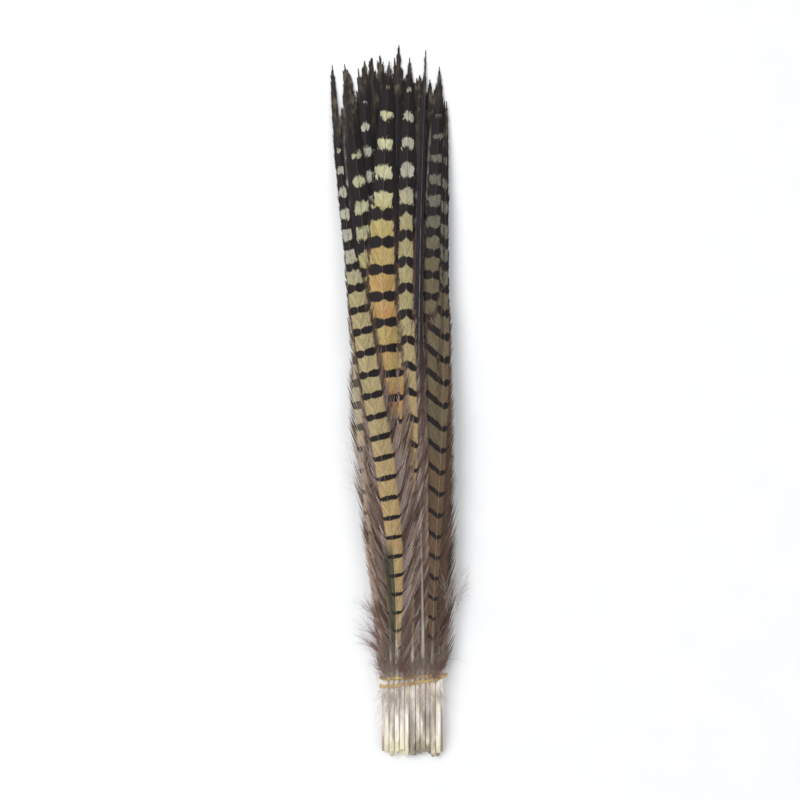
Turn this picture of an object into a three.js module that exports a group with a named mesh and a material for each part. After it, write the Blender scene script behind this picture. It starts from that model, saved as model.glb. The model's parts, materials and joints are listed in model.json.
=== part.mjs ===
// A tied bundle of ring-necked pheasant tail feathers, lying on a flat surface.
//
// Forty-four feathers lie with their good sides up and their quills packed in four rows. A yellow rubber
// band, wound twice, holds the quills. Above it the feathers fan out, most of all to the left. Each feather
// is one solid: a round quill that thins into a keeled shaft, with a thin firm web on either side. Every
// feather rests on the ones below it, so they are laid one by one from the surface up.
//
// Millimetres, +Z up. The feathers run along +Y, quill ends first, with their tips furthest.

import * as THREE from "three";

// ---- Driving dimensions ----

const LONGEST = 384; // from the quill ends to the furthest tip
const TIPS_AT = 362; // where a feather's tip is, give or take UNEVEN_TIPS
const UNEVEN_TIPS = 16;
const UNEVEN_ENDS = 2.5; // half of what the quill ends differ by
const QUILL_ROWS = [10, 11, 12, 11]; // quills in each row, from the lowest up
const QUILL_PITCH = 2.75; // from one quill's middle to the next one's
const QUILL_RADIUS = 1.2;
const QUILL_END_RADIUS = 0.65;
const QUILL_TAPER = 8; // the length over which a quill's end comes to full size
const BARE_LENGTH = 66; // how much of a quill has no firm web
const TIP_RADIUS = 0.25;
const END_POINT = 0.8; // how far both ends run out to a point
const WEB_STARTS_OVER = 14; // the length over which a round quill turns into a keeled shaft
const WEB_THICKNESS = 0.24; // where it meets the shaft. It thins to an edge
const WEB_HALF_WIDTH = 5.2; // of the firm web at its broadest. The loose barbs outside it aren't solid
const WEB_VARIES = 0.7; // how much that half width differs from feather to feather
const DROOP = 0.4; // how far a web falls, per millimetre out from the shaft
const STEEPEST = 0.5; // the steepest that a web climbs over what lies beneath it
const NARROWEST = 0.8; // a web narrower than this isn't bent
const CLEARANCE = 0.34; // between one feather and the next

const BAND_AT = 41.5; // from the quill ends to the middle of the band
const BAND_WIDTH = 2;
const BAND_THICKNESS = 1;
const BAND_GAP = 0.35; // between the band and the quills
const BAND_SPLAY = 2.5; // how far each turn strays from the middle
const BAND_TILT = 0.11; // how far it climbs towards the tips, per millimetre to the right
const BAND_CROSSING = 7.5; // how far round from where the turns cross they are fully apart
const BAND_LIFT = 1.35; // how far the upper turn is lifted there
const BAND_LIFTED = 3.2; // how far round from there it is fully lifted. It comes down over as much again
const BAND_SIDES = 30;
const BAND_LONGEST_SIDE = 9; // a longer side of the outline stays in one piece
const BAND_STEP = 1.6; // the longest piece of a shorter one

// ---- How the feathers lie ----

const FAN_FROM = 60; // where the feathers start to part
const FAN_TO = 370;
const FAN_SHIFT = -12; // how far the middle of the bundle strays to the left by then
const FAN_SPREAD = 0.95; // the share by which the bundle widens by then
const STRAY = 3; // how far a feather strays from its place by then
// Where the sections of every feather are, besides its two ends.
const STATIONS = [8, 54, 72, 94, 122, 156, 194, 236, 280, 320, 352];
const END_ROOM = 4; // the least distance from a quill's end to the first station
const TIP_ROOM = 9; // and from the last one to the tip
const OFF_SURFACE = 0.02; // no feather is lower
const SAMPLE_STEP = 6; // along a feather, between the places where its height is worked out
const ACROSS_STEP = 0.2; // and across it

// The feathers that show most, from the lowest up. A path holds the shaft's places across the bundle at
// PATH_AT from the quill ends and at the tip. Left and right are the half widths of the firm webs.
const PATH_AT = [0, 60, 105, 150, 200, 250, 300];
const SHOWN = [
  {
    name: "stray_left",
    place: { row: 2, column: 1 },
    path: [-12.4, -12.6, -16.5, -20.5, -25.5, -29.5, -32, -36.5],
    tip: 361,
    left: 4.5,
    right: 5,
    tone: "pale",
  },
  {
    name: "second_left",
    place: { row: 2, column: 2 },
    path: [-9.6, -9.8, -12.5, -15.5, -19.5, -23, -24.6, -25.6],
    tip: 374,
    left: 5,
    right: 5,
    tone: "pale",
  },
  {
    name: "between",
    place: { row: 2, column: 4 },
    path: [-4.1, -4.2, -5, -6.4, -7.8, -8.8, -9, -7.2],
    tip: 382.5,
    left: 4,
    right: 4,
    tone: "dusky",
  },
  {
    name: "olive_right",
    place: { row: 3, column: 6 },
    path: [2.75, 3, 4, 5.2, 7, 10.5, 12.8, 14.6],
    tip: 371,
    left: 6,
    right: 5.5,
    tone: "olive",
  },
  {
    name: "brown_right",
    place: { row: 3, column: 9 },
    path: [11, 10.6, 12, 14.4, 16.6, 17.4, 17.6, 18.4],
    tip: 352,
    left: 6,
    right: 5,
    tone: "olive",
  },
  {
    name: "plain_shaft",
    place: { row: 3, column: 7 },
    path: [5.5, 5.6, 4.8, 3.6, 3.2, 3.8, 4.8, 7.2],
    tip: 380,
    left: 4.5,
    right: 5,
    tone: "dusky",
  },
  {
    name: "slim_middle",
    place: { row: 3, column: 5 },
    path: [0, 0, -0.4, -1, -2.2, -3.5, -3, -1.5],
    tip: 376,
    left: 4.8,
    right: 4.6,
    tone: "cream",
  },
  {
    name: "broad_middle",
    place: { row: 3, column: 3 },
    path: [-5.5, -5.6, -6.4, -8.6, -12.2, -16.2, -15.8, -12.5],
    tip: 374,
    left: 8.5,
    right: 8.5,
    tone: "golden",
  },
  {
    name: "crossing",
    place: { row: 3, column: 2 },
    path: [-8.25, -8.3, -9.5, -14.5, -23, -30.6, -37, -43.2],
    tip: 372,
    left: 4.5,
    right: 6.5,
    tone: "cream",
  },
];
const TONES = ["golden", "olive", "cream", "dusky", "pale"];

// ---- Small tools ----

const clamp = (value, low, high) => Math.min(high, Math.max(low, value));
const mix = (a, b, share) => a + (b - a) * share;
const smooth = (share) => share * share * (3 - 2 * share);

// The value at x of the line through the points of xs and ys.
function along(xs, ys, x) {
  let i = 1;
  while (i < xs.length - 1 && x > xs[i]) i++;
  return mix(ys[i - 1], ys[i], clamp((x - xs[i - 1]) / (xs[i] - xs[i - 1]), 0, 1));
}

// The same number from -1 to 1 every time for a feather and a purpose.
function scatter(feather, purpose) {
  const mixed = Math.sin(feather * 12.9898 + purpose * 78.233) * 43758.5453;
  return 2 * (mixed - Math.floor(mixed)) - 1;
}

// ---- A feather's own shape ----

const SHAFT_AT = [0, BARE_LENGTH, 100, 150, 200, 250, 300, 350, LONGEST];
const SHAFT_SHARE = [1, 1, 0.88, 0.72, 0.58, 0.44, 0.31, 0.18, 0.1];
const WEB_AT = [0, 0.1, 0.28, 0.6, 0.85, 0.95, 1];
const WEB_SHARE = [0.2, 0.6, 1, 0.95, 0.7, 0.42, 0];

function shaftRadius(feather, y) {
  const full = feather.radius * along(SHAFT_AT, SHAFT_SHARE, y);
  const started = clamp((y - feather.end) / QUILL_TAPER, 0, 1);
  return Math.max(TIP_RADIUS, full * mix(QUILL_END_RADIUS / QUILL_RADIUS, 1, Math.sqrt(started)));
}

// The half width of the web on one side, from the shaft's middle. It is the shaft's own on a bare quill.
function halfWidth(feather, y, side) {
  const radius = shaftRadius(feather, y);
  const share = (y - feather.webFrom) / (feather.tip - feather.webFrom);
  if (share <= 0) return radius;
  return Math.max(radius, feather[side] * along(WEB_AT, WEB_SHARE, share));
}

// The eight corners of a section, from the left edge over the top, as [across, up] from the shaft's middle.
function corners(feather, y, left, right) {
  const r = shaftRadius(feather, y);
  const webbed = y < feather.tip ? smooth(clamp((y - feather.webFrom) / WEB_STARTS_OVER, 0, 1)) : 0;
  const diagonal = 0.707 * r;
  const root = 0.55 * r;
  const under = mix(-diagonal, root - Math.min(WEB_THICKNESS, 0.9 * r), webbed);
  const over = mix(diagonal, root, webbed);
  const crest = mix(r, 0.8 * r, webbed);
  return [
    [-halfWidth(feather, y, "left"), left * webbed],
    [-diagonal, over],
    [0, crest],
    [diagonal, over],
    [halfWidth(feather, y, "right"), right * webbed],
    [diagonal, under],
    [0, -r],
    [-diagonal, under],
  ];
}

function shaftPlace(feather, y) {
  if (feather.path) {
    const at = [...PATH_AT, feather.tip];
    const curve = new THREE.SplineCurve(at.map((place, i) => new THREE.Vector2(place, feather.path[i])));
    let i = 1;
    while (i < at.length - 1 && y > at[i]) i++;
    const share = clamp((y - at[i - 1]) / (at[i] - at[i - 1]), 0, 1);
    return curve.getPoint((i - 1 + share) / (at.length - 1)).y;
  }
  const share = clamp((y - FAN_FROM) / (FAN_TO - FAN_FROM), 0, 1.05);
  const spread = 1 + FAN_SPREAD * share ** 1.9;
  return feather.quillAt * spread + (FAN_SHIFT + feather.stray) * share;
}

// ---- Laying the feathers ----

// The surface that the bundle lies on, raised where the band passes under the quills.
const surface = (y) => mix(BAND_THICKNESS + BAND_GAP, 0, smooth(clamp((y - BARE_LENGTH) / 50, 0, 1)));

function sectionAt(feather, y) {
  const { rings } = feather;
  let i = 1;
  while (i < rings.length - 1 && y > rings[i].y) i++;
  const [a, b] = [rings[i - 1], rings[i]];
  const share = clamp((y - a.y) / (b.y - a.y), 0, 1);
  return a.points.map((p, j) => [mix(p[0], b.points[j][0], share), mix(p[1], b.points[j][1], share)]);
}

// The top of a section at x, from its first five corners.
function topAt(points, x) {
  for (let i = 0; i < 4; i++) {
    const [a, b] = [points[i], points[i + 1]];
    if (x >= a[0] && x <= b[0] && b[0] > a[0]) return mix(a[1], b[1], (x - a[0]) / (b[0] - a[0]));
  }
  return -Infinity;
}

// What a new feather lies on at y: the height of everything laid so far, as a function of x.
function groundAt(laid, y) {
  const near = laid.filter((f) => y > f.end - SAMPLE_STEP && y < f.tip + SAMPLE_STEP);
  const sections = near.map((f) => sectionAt(f, y));
  const floor = surface(y);
  return (x) => sections.reduce((most, points) => Math.max(most, topAt(points, x) + CLEARANCE), floor);
}

// The webs' corners in a section: the edge, then the root under the shaft.
const LEFT_WEB = { edge: 0, root: 7 };
const RIGHT_WEB = { edge: 4, root: 5 };

// Steps out along a web: each step's distance from the root, and the ground's height there less the root's.
function webSteps({ shape, x, ground }, { edge, root }) {
  const width = shape[edge][0] - shape[root][0];
  const count = Math.ceil(Math.abs(width) / ACROSS_STEP);
  return [...Array(count).keys()].map((step) => {
    const out = (width * (step + 1)) / count;
    return { out: Math.abs(out), below: ground(x + shape[root][0] + out) - shape[root][1] };
  });
}

// The least height of the shaft's middle that clears what lies below, with neither web too steep.
function leastHeight(sample) {
  const { shape, x, ground } = sample;
  const [[left, side], [, keel], [right]] = [shape[7], shape[6], shape[5]];
  let least = -Infinity;
  for (let u = left; u <= right; u += ACROSS_STEP / 2) {
    least = Math.max(least, ground(x + u) - mix(keel, side, Math.abs(u) / right));
  }
  for (const { out, below } of [...webSteps(sample, LEFT_WEB), ...webSteps(sample, RIGHT_WEB)]) {
    least = Math.max(least, below - STEEPEST * out);
  }
  return least;
}

// Heights for the rings that keep every sample between them at its least height or above it.
function ringHeights(ys, samples) {
  const heights = ys.map((_, k) => {
    const here = samples.filter((s) => (s.i === k && s.share === 0) || (s.i === k - 1 && s.share === 1));
    return Math.max(...here.map((s) => s.least));
  });
  for (let round = 0; round < 4; round++)
    for (const { i, share, least } of samples) {
      const short = Math.max(0, least - mix(heights[i], heights[i + 1], share));
      const leverage = round < 3 ? share ** 2 + (1 - share) ** 2 : Math.min(share, 1 - share) || 1;
      heights[i] += (short * (1 - share)) / leverage;
      heights[i + 1] += (short * share) / leverage;
    }
  // A shaft is stiff, so it bridges the hollows along it.
  for (let k = 1; k < ys.length - 1; k++)
    for (let a = 0; a < k; a++)
      for (let b = k + 1; b < ys.length; b++) {
        const straight = mix(heights[a], heights[b], (ys[k] - ys[a]) / (ys[b] - ys[a]));
        heights[k] = Math.max(heights[k], straight);
      }
  return heights;
}

// How high a web's edge is at each ring. It droops until the web meets what is below it.
function edgeRises(web, shapes, samples, heights) {
  const slopes = shapes.map(() => -DROOP);
  const width = (shape) => Math.abs(shape[web.edge][0] - shape[web.root][0]);
  for (const sample of samples.filter(({ shape }) => width(shape) >= NARROWEST)) {
    const { i, share } = sample;
    for (const { out, below } of webSteps(sample, web)) {
      const slope = (below - mix(heights[i], heights[i + 1], share)) / out;
      slopes[i] = Math.max(slopes[i], slope);
      slopes[i + 1] = Math.max(slopes[i + 1], slope);
    }
  }
  return shapes.map((shape, k) => shape[web.root][1] + slopes[k] * width(shape));
}

// Gives a feather its rings, each a section's corners as [across, up] at a distance y from the quill ends.
function lay(feather, laid) {
  const between = STATIONS.filter((y) => y > feather.end + END_ROOM && y < feather.tip - TIP_ROOM);
  const ys = [feather.end, ...between, feather.tip];
  const at = ys.map((y) => shaftPlace(feather, y));
  const shapes = ys.map((y) => corners(feather, y, 0, 0));
  const samples = [];
  for (let i = 0; i < ys.length - 1; i++) {
    const steps = Math.max(2, Math.ceil((ys[i + 1] - ys[i]) / SAMPLE_STEP));
    for (let s = 0; s <= steps; s++) {
      const share = s / steps;
      const shape = shapes[i].map(([u, v], j) => {
        const [nextU, nextV] = shapes[i + 1][j];
        return [mix(u, nextU, share), mix(v, nextV, share)];
      });
      const ground = groundAt(laid, mix(ys[i], ys[i + 1], share));
      samples.push({ i, share, x: mix(at[i], at[i + 1], share), shape, ground });
    }
  }
  for (const sample of samples) sample.least = leastHeight(sample);
  const heights = ringHeights(ys, samples);
  const left = edgeRises(LEFT_WEB, shapes, samples, heights);
  const right = edgeRises(RIGHT_WEB, shapes, samples, heights);
  feather.rings = ys.map((y, k) => {
    const points = corners(feather, y, left[k], right[k]);
    return { y, points: points.map(([u, v]) => [at[k] + u, Math.max(OFF_SURFACE, heights[k] + v)]) };
  });
}

// ---- The feathers of the bundle ----

function listFeathers() {
  const feathers = [];
  QUILL_ROWS.forEach((count, row) => {
    const columns = [...Array(count).keys()];
    // Every second one is laid first, so that each of the others lies in the hollow between two.
    const order = [...columns.filter((c) => c % 2 === 0), ...columns.filter((c) => c % 2 === 1)];
    for (const column of order) {
      const seed = row * 11 + column + 1;
      const rank = SHOWN.findIndex(({ place }) => place.row === row && place.column === column);
      feathers.push({
        row,
        rank,
        quillAt: (column - (count - 1) / 2) * QUILL_PITCH,
        end: UNEVEN_ENDS * (1 + scatter(seed, 1)),
        tip: TIPS_AT + UNEVEN_TIPS * scatter(seed, 2),
        webFrom: BARE_LENGTH + 4 * scatter(seed, 3),
        radius: QUILL_RADIUS * (1 - 0.07 * (1 + scatter(seed, 4))),
        stray: STRAY * scatter(seed, 5),
        left: WEB_HALF_WIDTH + WEB_VARIES * scatter(seed, 6),
        right: WEB_HALF_WIDTH + WEB_VARIES * scatter(seed, 7),
        tone: TONES[Math.floor(((scatter(seed, 8) + 1) / 2) * TONES.length)],
        ...SHOWN[rank],
      });
    }
  });
  // In each row the feathers that show most come last, in their own order.
  return feathers.sort((a, b) => a.row - b.row || a.rank - b.rank);
}

// ---- Solids ----

// A closed tube through rings of corners, with both ends pointed: a CylinderGeometry whose vertices are
// moved to the rings.
function tubeThrough(rings) {
  const sides = rings[0].length;
  const geometry = new THREE.CylinderGeometry(1, 1, 1, sides, rings.length - 1);
  const position = geometry.getAttribute("position");
  for (let i = 0; i < position.count; i++) {
    const [x, y, z] = [position.getX(i), position.getY(i), position.getZ(i)];
    const ring = rings[Math.round((0.5 - y) * (rings.length - 1))];
    const place = new THREE.Vector3();
    if (Math.hypot(x, z) < 0.01) {
      ring.forEach((corner) => place.add(corner));
      place.divideScalar(sides);
      place.y -= Math.sign(y) * END_POINT;
    } else {
      const turn = Math.round((Math.atan2(x, z) / (2 * Math.PI)) * sides + sides) % sides;
      place.copy(ring[turn]);
    }
    position.setXYZ(i, place.x, place.y, place.z);
  }
  splitAlike(geometry.index, sides, rings.length - 1);
  return facingOut(geometry);
}

// Splits the four-cornered faces of a tube's underside along the same diagonals as those above them, so
// that a twisted web keeps its thickness.
function splitAlike(index, sides, lengths) {
  for (let quad = (sides / 2) * lengths; quad < sides * lengths; quad++) {
    const [a, b, d, , c] = [0, 1, 2, 3, 4].map((k) => index.getX(quad * 6 + k));
    [a, b, c, a, c, d].forEach((vertex, k) => index.setX(quad * 6 + k, vertex));
  }
}

// A closed loop through rings of corners: a TorusGeometry whose vertices are moved to the rings.
function loopThrough(rings) {
  const sides = rings[0].length;
  const geometry = new THREE.TorusGeometry(2, 1, sides, rings.length);
  const position = geometry.getAttribute("position");
  const perSide = rings.length + 1;
  for (let i = 0; i < position.count; i++) {
    const corner = rings[(i % perSide) % rings.length][Math.floor(i / perSide) % sides];
    position.setXYZ(i, corner.x, corner.y, corner.z);
  }
  return facingOut(geometry);
}

// Turns the faces outwards.
function facingOut(geometry) {
  const position = geometry.getAttribute("position");
  const faces = [];
  let volume = 0;
  for (let i = 0; i < geometry.index.count; i += 3) {
    const face = [0, 1, 2].map((k) => geometry.index.getX(i + k));
    const [a, b, c] = face.map((vertex) => new THREE.Vector3().fromBufferAttribute(position, vertex));
    volume += a.dot(b.cross(c));
    faces.push(face);
  }
  if (volume < 0) faces.forEach((face) => face.reverse());
  geometry.setIndex(faces.flat());
  geometry.computeVertexNormals();
  return geometry;
}

function featherMesh(feather, number) {
  const rings = feather.rings.map(({ y, points }) => points.map(([x, z]) => new THREE.Vector3(x, y, z)));
  const mesh = new THREE.Mesh(tubeThrough(rings), MATERIALS[feather.tone]);
  mesh.name = `feather_${String(number).padStart(2, "0")}`;
  return mesh;
}

// The straight-sided outline that holds all the quills under the band and stands off from them by a
// distance. It starts at the right.
function bandOutline(feathers, distance) {
  const packed = feathers.flatMap((f) => [-8, -4, 0, 4, 8].flatMap((off) => sectionAt(f, BAND_AT + off)));
  const sides = [...Array(BAND_SIDES).keys()].map((i) => {
    const angle = ((i - 0.5) / BAND_SIDES) * 2 * Math.PI;
    const [nx, nz] = [Math.cos(angle), Math.sin(angle)];
    return { nx, nz, reach: distance + Math.max(...packed.map(([x, z]) => x * nx + z * nz)) };
  });
  return sides.map((a, i) => {
    const b = sides[(i + 1) % BAND_SIDES];
    const x = a.reach * b.nz - b.reach * a.nz;
    const z = b.reach * a.nx - a.reach * b.nx;
    return new THREE.Vector3(x, 0, z).divideScalar(a.nx * b.nz - a.nz * b.nx);
  });
}

// The places round the quills that one turn of the band goes through: near them, far from them, and how
// far round it is from where the turns cross, at the right.
function bandTurn(feathers) {
  const inner = bandOutline(feathers, BAND_GAP);
  const outer = bandOutline(feathers, BAND_GAP + BAND_THICKNESS);
  const places = [];
  let round = 0;
  inner.forEach((from, i) => {
    const to = inner[(i + 1) % BAND_SIDES];
    const length = from.distanceTo(to);
    const pieces = length < BAND_LONGEST_SIDE ? Math.ceil(length / BAND_STEP) : 1;
    for (let piece = 0; piece < pieces; piece++) {
      const near = from.clone().lerp(to, piece / pieces);
      const far = outer[i].clone().lerp(outer[(i + 1) % BAND_SIDES], piece / pieces);
      places.push({ near, far, round: round + (length * piece) / pieces });
    }
    round += length;
  });
  return places.map((place) => {
    const off = Math.min(place.round, round - place.round);
    return { ...place, off, first: place.round < round / 2 };
  });
}

// Two turns of one loop. Where they cross, the start of the first turn and the end of the second lie on top.
function bandMesh(feathers) {
  const rings = [1, -1].flatMap((way) =>
    bandTurn(feathers).map(({ near, far, first, off }) => {
      const onTop = first === way > 0;
      const lift = onTop ? BAND_LIFT * (1 - smooth(clamp((off - BAND_LIFTED) / BAND_LIFTED, 0, 1))) : 0;
      const outwards = far.clone().sub(near).normalize().multiplyScalar(lift);
      const apart = smooth(clamp(off / BAND_CROSSING, 0, 1));
      const y = BAND_AT + BAND_TILT * near.x + way * BAND_SPLAY * apart;
      const corner = (point, side) => point.clone().add(outwards).setY(y + (side * BAND_WIDTH) / 2);
      return [corner(near, -1), corner(near, 1), corner(far, 1), corner(far, -1)];
    }),
  );
  const mesh = new THREE.Mesh(loopThrough(rings), MATERIALS.rubber);
  mesh.name = "rubber_band";
  return mesh;
}

// ---- The bundle ----

const matte = (color) => new THREE.MeshStandardMaterial({ color, roughness: 0.75, metalness: 0 });
const MATERIALS = {
  golden: matte(0xb08d4e),
  olive: matte(0x7d7659),
  cream: matte(0xbcae84),
  dusky: matte(0x5f5350),
  pale: matte(0xa89f8c),
  rubber: matte(0xd8b43a),
};

const feathers = listFeathers();
const laid = [];
for (const feather of feathers) {
  lay(feather, laid);
  laid.push(feather);
}

const group = new THREE.Group();
feathers.forEach((feather, i) => group.add(featherMesh(feather, i + 1)));
group.add(bandMesh(feathers));

// The origin is under the middle of the bundle, on the surface that it lies on.
const box = new THREE.Box3().setFromObject(group);
const middle = box.getCenter(new THREE.Vector3());
group.position.set(-middle.x, -middle.y, -box.min.z);

export default group;
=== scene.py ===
"""A tied bundle of barred tail feathers: the looks of every feather, the rubber band and the loose down.

Each feather is a quill and a vane of separate barbs, laid over the feathers below it. Lengths in the
functions are in millimetres, and become metres where a mesh is written.
"""

import json
import math

import bmesh
import bpy
import numpy as np
from bpy.props import FloatProperty, FloatVectorProperty, IntProperty, PointerProperty
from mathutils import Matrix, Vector


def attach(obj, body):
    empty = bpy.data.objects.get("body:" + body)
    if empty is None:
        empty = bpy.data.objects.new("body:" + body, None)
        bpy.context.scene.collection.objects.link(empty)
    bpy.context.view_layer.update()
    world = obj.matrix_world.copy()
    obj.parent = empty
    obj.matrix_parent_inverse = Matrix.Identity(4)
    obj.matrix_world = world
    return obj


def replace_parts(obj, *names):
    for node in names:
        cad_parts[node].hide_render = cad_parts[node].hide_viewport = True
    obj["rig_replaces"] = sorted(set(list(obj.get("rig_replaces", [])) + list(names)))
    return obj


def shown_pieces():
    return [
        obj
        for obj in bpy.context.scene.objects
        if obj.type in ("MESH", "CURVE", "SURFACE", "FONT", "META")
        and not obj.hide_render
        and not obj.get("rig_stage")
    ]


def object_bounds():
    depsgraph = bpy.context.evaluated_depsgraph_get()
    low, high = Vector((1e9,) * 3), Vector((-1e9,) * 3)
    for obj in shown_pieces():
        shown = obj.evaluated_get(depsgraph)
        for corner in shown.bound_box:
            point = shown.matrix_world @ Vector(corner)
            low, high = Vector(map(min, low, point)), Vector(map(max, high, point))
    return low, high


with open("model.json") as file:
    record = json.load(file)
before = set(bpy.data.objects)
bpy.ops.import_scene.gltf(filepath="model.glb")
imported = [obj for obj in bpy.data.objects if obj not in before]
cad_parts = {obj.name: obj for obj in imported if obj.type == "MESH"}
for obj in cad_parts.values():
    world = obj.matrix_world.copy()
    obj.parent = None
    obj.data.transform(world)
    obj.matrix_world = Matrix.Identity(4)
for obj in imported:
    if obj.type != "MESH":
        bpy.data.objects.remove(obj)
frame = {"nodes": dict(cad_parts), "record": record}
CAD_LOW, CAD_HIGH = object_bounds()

bl_info = {
    "name": "Tied bundle of tail feathers",
    "version": (1, 0, 0),
    "blender": (4, 5, 0),
    "location": "View3D > Sidebar > Feathers",
    "description": "Builds a bundle of barred tail feathers held by a rubber band",
    "category": "Object",
}

MM = 0.001
BODY = "root"
FEATHERS = sorted(name for name in frame["nodes"] if name.startswith("feather_"))
BAND = "rubber_band"
QUILL_ENDS = CAD_LOW.y / MM
SLOTS = {part["node"]: part["material_slot"] for part in frame["record"]["subparts"]}


def tone_of(name):
    """The first word of a feather's slot, which says how its webs are coloured."""
    return SLOTS[name].split("_")[0]


# ---- How the feathers that show most differ from the rest ----

# bar_at is where one dark bar is from the quill ends, spacing how far the next is, and growth how much that
# grows for each millimetre towards the tip. climb is how far a bar climbs for each millimetre out, fringe
# scales the loose barbs and broad the firm web, each on the left and on the right. slim scales the whole vane
# above its first number, on the left and on the right too. The web is firm above firm_from. dark_tip is how
# long the plain dark tip is, and pale_to how far up the shaft stays ivory. strength is how plain the bars
# are, and bar_width scales them, light the colours, partly as painted shade, and shaft the shaft's width.
# tint is how warm the web is, from 0 to 1. Below gloom the left web is painted dark olive, as
# painted shade on a web turned away from the light.
MARKED = {
    "feather_01": {"fringe": (0.5, 0.8), "light": 1.4},
    "feather_06": {"fringe": (0.5, 0.9)},
    "feather_11": {"fringe": (0.5, 0.8), "light": 1.35},
    # The low light of feather_16 and feather_30 is painted shade on the bundle's shaded right side.
    "feather_16": {"fringe": (0.8, 0.45), "light": 0.55},
    "feather_22": {"fringe": (0.5, 0.8), "light": 1.35, "strength": 0.6},
    "feather_25": {"fringe": (0.8, 0.5)},
    "feather_30": {"fringe": (0.8, 0.45), "light": 0.66},
    "feather_31": {"bar_at": 302.6, "spacing": 13.2, "climb": (0.0, 0.1), "fringe": (0.45, 0.6),
                   "dark_tip": 30, "firm_from": 84, "slim": (205, 0.75, 1.0), "broad": (1.7, 1.0),
                   "strength": 0.8, "light": 1.2, "tint": 0.3},
    "feather_32": {"bar_at": 305.6, "spacing": 13.3, "climb": (-0.1, 0.1), "fringe": (0.5, 0.5),
                   "dark_tip": 20},
    "feather_33": {"bar_at": 300.0, "spacing": 13.0, "slim": (300, 0.8, 0.8)},
    "feather_34": {"fringe": (0.5, 0.9), "light": 1.35},
    "feather_37": {"firm_from": 230, "strength": 0.5, "light": 0.6},
    "feather_38": {"bar_at": 288.5, "spacing": 14.0, "growth": 0.0, "climb": (-0.1, 0.2),
                   "fringe": (0.6, 0.8), "dark_tip": 34, "firm_from": 205, "light": 0.78},
    "feather_39": {"bar_at": 247.6, "spacing": 11.5, "growth": 0.0, "climb": (0.0, 0.0),
                   "fringe": (0.5, 0.5), "dark_tip": 24},
    "feather_40": {"bar_at": 189.0, "spacing": 12.0, "growth": 0.012, "climb": (0.75, 0.2),
                   "fringe": (0.6, 0.7), "firm_from": 66, "slim": (236, 0.34, 0.7), "broad": (1.75, 0.55),
                   "bar_width": 0.85, "light": 0.95, "tint": 1.0, "pale_to": 52},
    # feather_41 is dusky: its dark upper web is partly painted shade in a recessed strip between its
    # neighbours.
    "feather_41": {"bar_at": 210.0, "spacing": 12.5, "fringe": (1.0, 0.3), "slim": (222, 0.6, 0.62),
                   "broad": (1.0, 0.6), "strength": 0.3, "pale_to": 150, "shaft": 1.9},
    "feather_42": {"bar_at": 295.4, "spacing": 14.2, "growth": 0.004, "climb": (-0.5, -0.5),
                   "fringe": (0.35, 0.35), "dark_tip": 13, "firm_from": 168, "slim": (300, 1.25, 1.25),
                   "light": 0.95},
    "feather_43": {"bar_at": 233.6, "spacing": 13.9, "growth": 0.023, "climb": (0.0, 0.0),
                   "fringe": (0.5, 0.4), "dark_tip": 13, "firm_from": 196, "slim": (292, 0.86, 0.86),
                   "tint": 1.0},
    "feather_44": {"bar_at": 161.6, "spacing": 10.8, "growth": 0.0125, "climb": (-0.05, 0.1),
                   "fringe": (0.4, 1.06), "dark_tip": 45, "firm_from": 64, "slim": (262, 0.8, 0.4),
                   "bar_width": 0.88, "pale_to": 64, "gloom": 122},
}
# What any other feather has, and the ranges that chance picks from, in the order of the draws. The light
# that is picked is a factor on the feather's own.
PLAIN = {"slim": (400, 1.0, 1.0), "broad": (1.0, 1.0), "strength": 1.0, "bar_width": 1.0, "shaft": 1.0,
         "gloom": 0.0, "tint": None}
RANGES = {"bar_at": (195, 215), "spacing": (11.0, 14.0), "growth": (0.004, 0.018), "climb": (-0.25, 0.3),
          "fringe": (0.7, 1.05), "dark_tip": (20, 34), "pale_to": (62, 96), "firm_from": (70, 150),
          "light": (0.94, 1.06), "frayed": (0.4, 2.4)}
LOWER_LAYERS = 30  # feathers below this number are seen only through gaps
# The colours of lower feathers are darkened by this factor, as painted shade from the feathers above them.
LOWER_PAINTED_SHADE = 0.7
OPEN_LAYERS = 21  # up to this number a feather's barbs are further apart, by OPENNESS
OPENNESS = 1.5

# ---- A vane's own shape, against the share of the way from its start to the tip ----

SHARES = [0.0, 0.06, 0.2, 0.4, 0.55, 0.7, 0.85, 0.95, 1.0]
FRINGE_WIDTH = [5.0, 7.5, 8.0, 5.8, 2.2, 0.9, 0.8, 1.0, 0.7]
WIDEST_FRINGE = max(FRINGE_WIDTH)
ADVANCE = [1.3, 1.75, 2.05, 2.1, 2.1, 2.1, 2.3, 3.0, 4.2]  # how far a barb runs on for each millimetre out
BARB_POINTS = np.array([0.0, 0.1, 0.25, 0.42, 0.6, 0.8, 1.0])
PAST_TIP = 1.6  # how far the web runs past the CAD solid's tip
TIP_ROUNDING = 7.0
LOOSE_CORE = 0.4  # how much of the core's width is firm below firm_from
BARB_ROOT = 0.45  # of the shaft's radius, how high above its middle the barbs leave it
SPACING_JITTER = 0.12  # of the distance between barbs
CLUMP = 7.0  # barbs in a clump, about
CLUMPING = 0.55  # how far the loose ends of a clump are pulled together
STRAY_BARBS = 0.1  # the share of barbs that stray from their clump
BEARING = 1.7  # up to here from the shaft, on the scale of rim, barbs bear what lies on them
FRINGE_DROOP = 0.28  # how much more the loose barbs fall for each unit out than the firm web
STEEPEST = 0.7  # how far a barb rises at most for each unit in
LOWEST = 0.12  # no barb is nearer to the table

# ---- The quill and shaft ----

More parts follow.
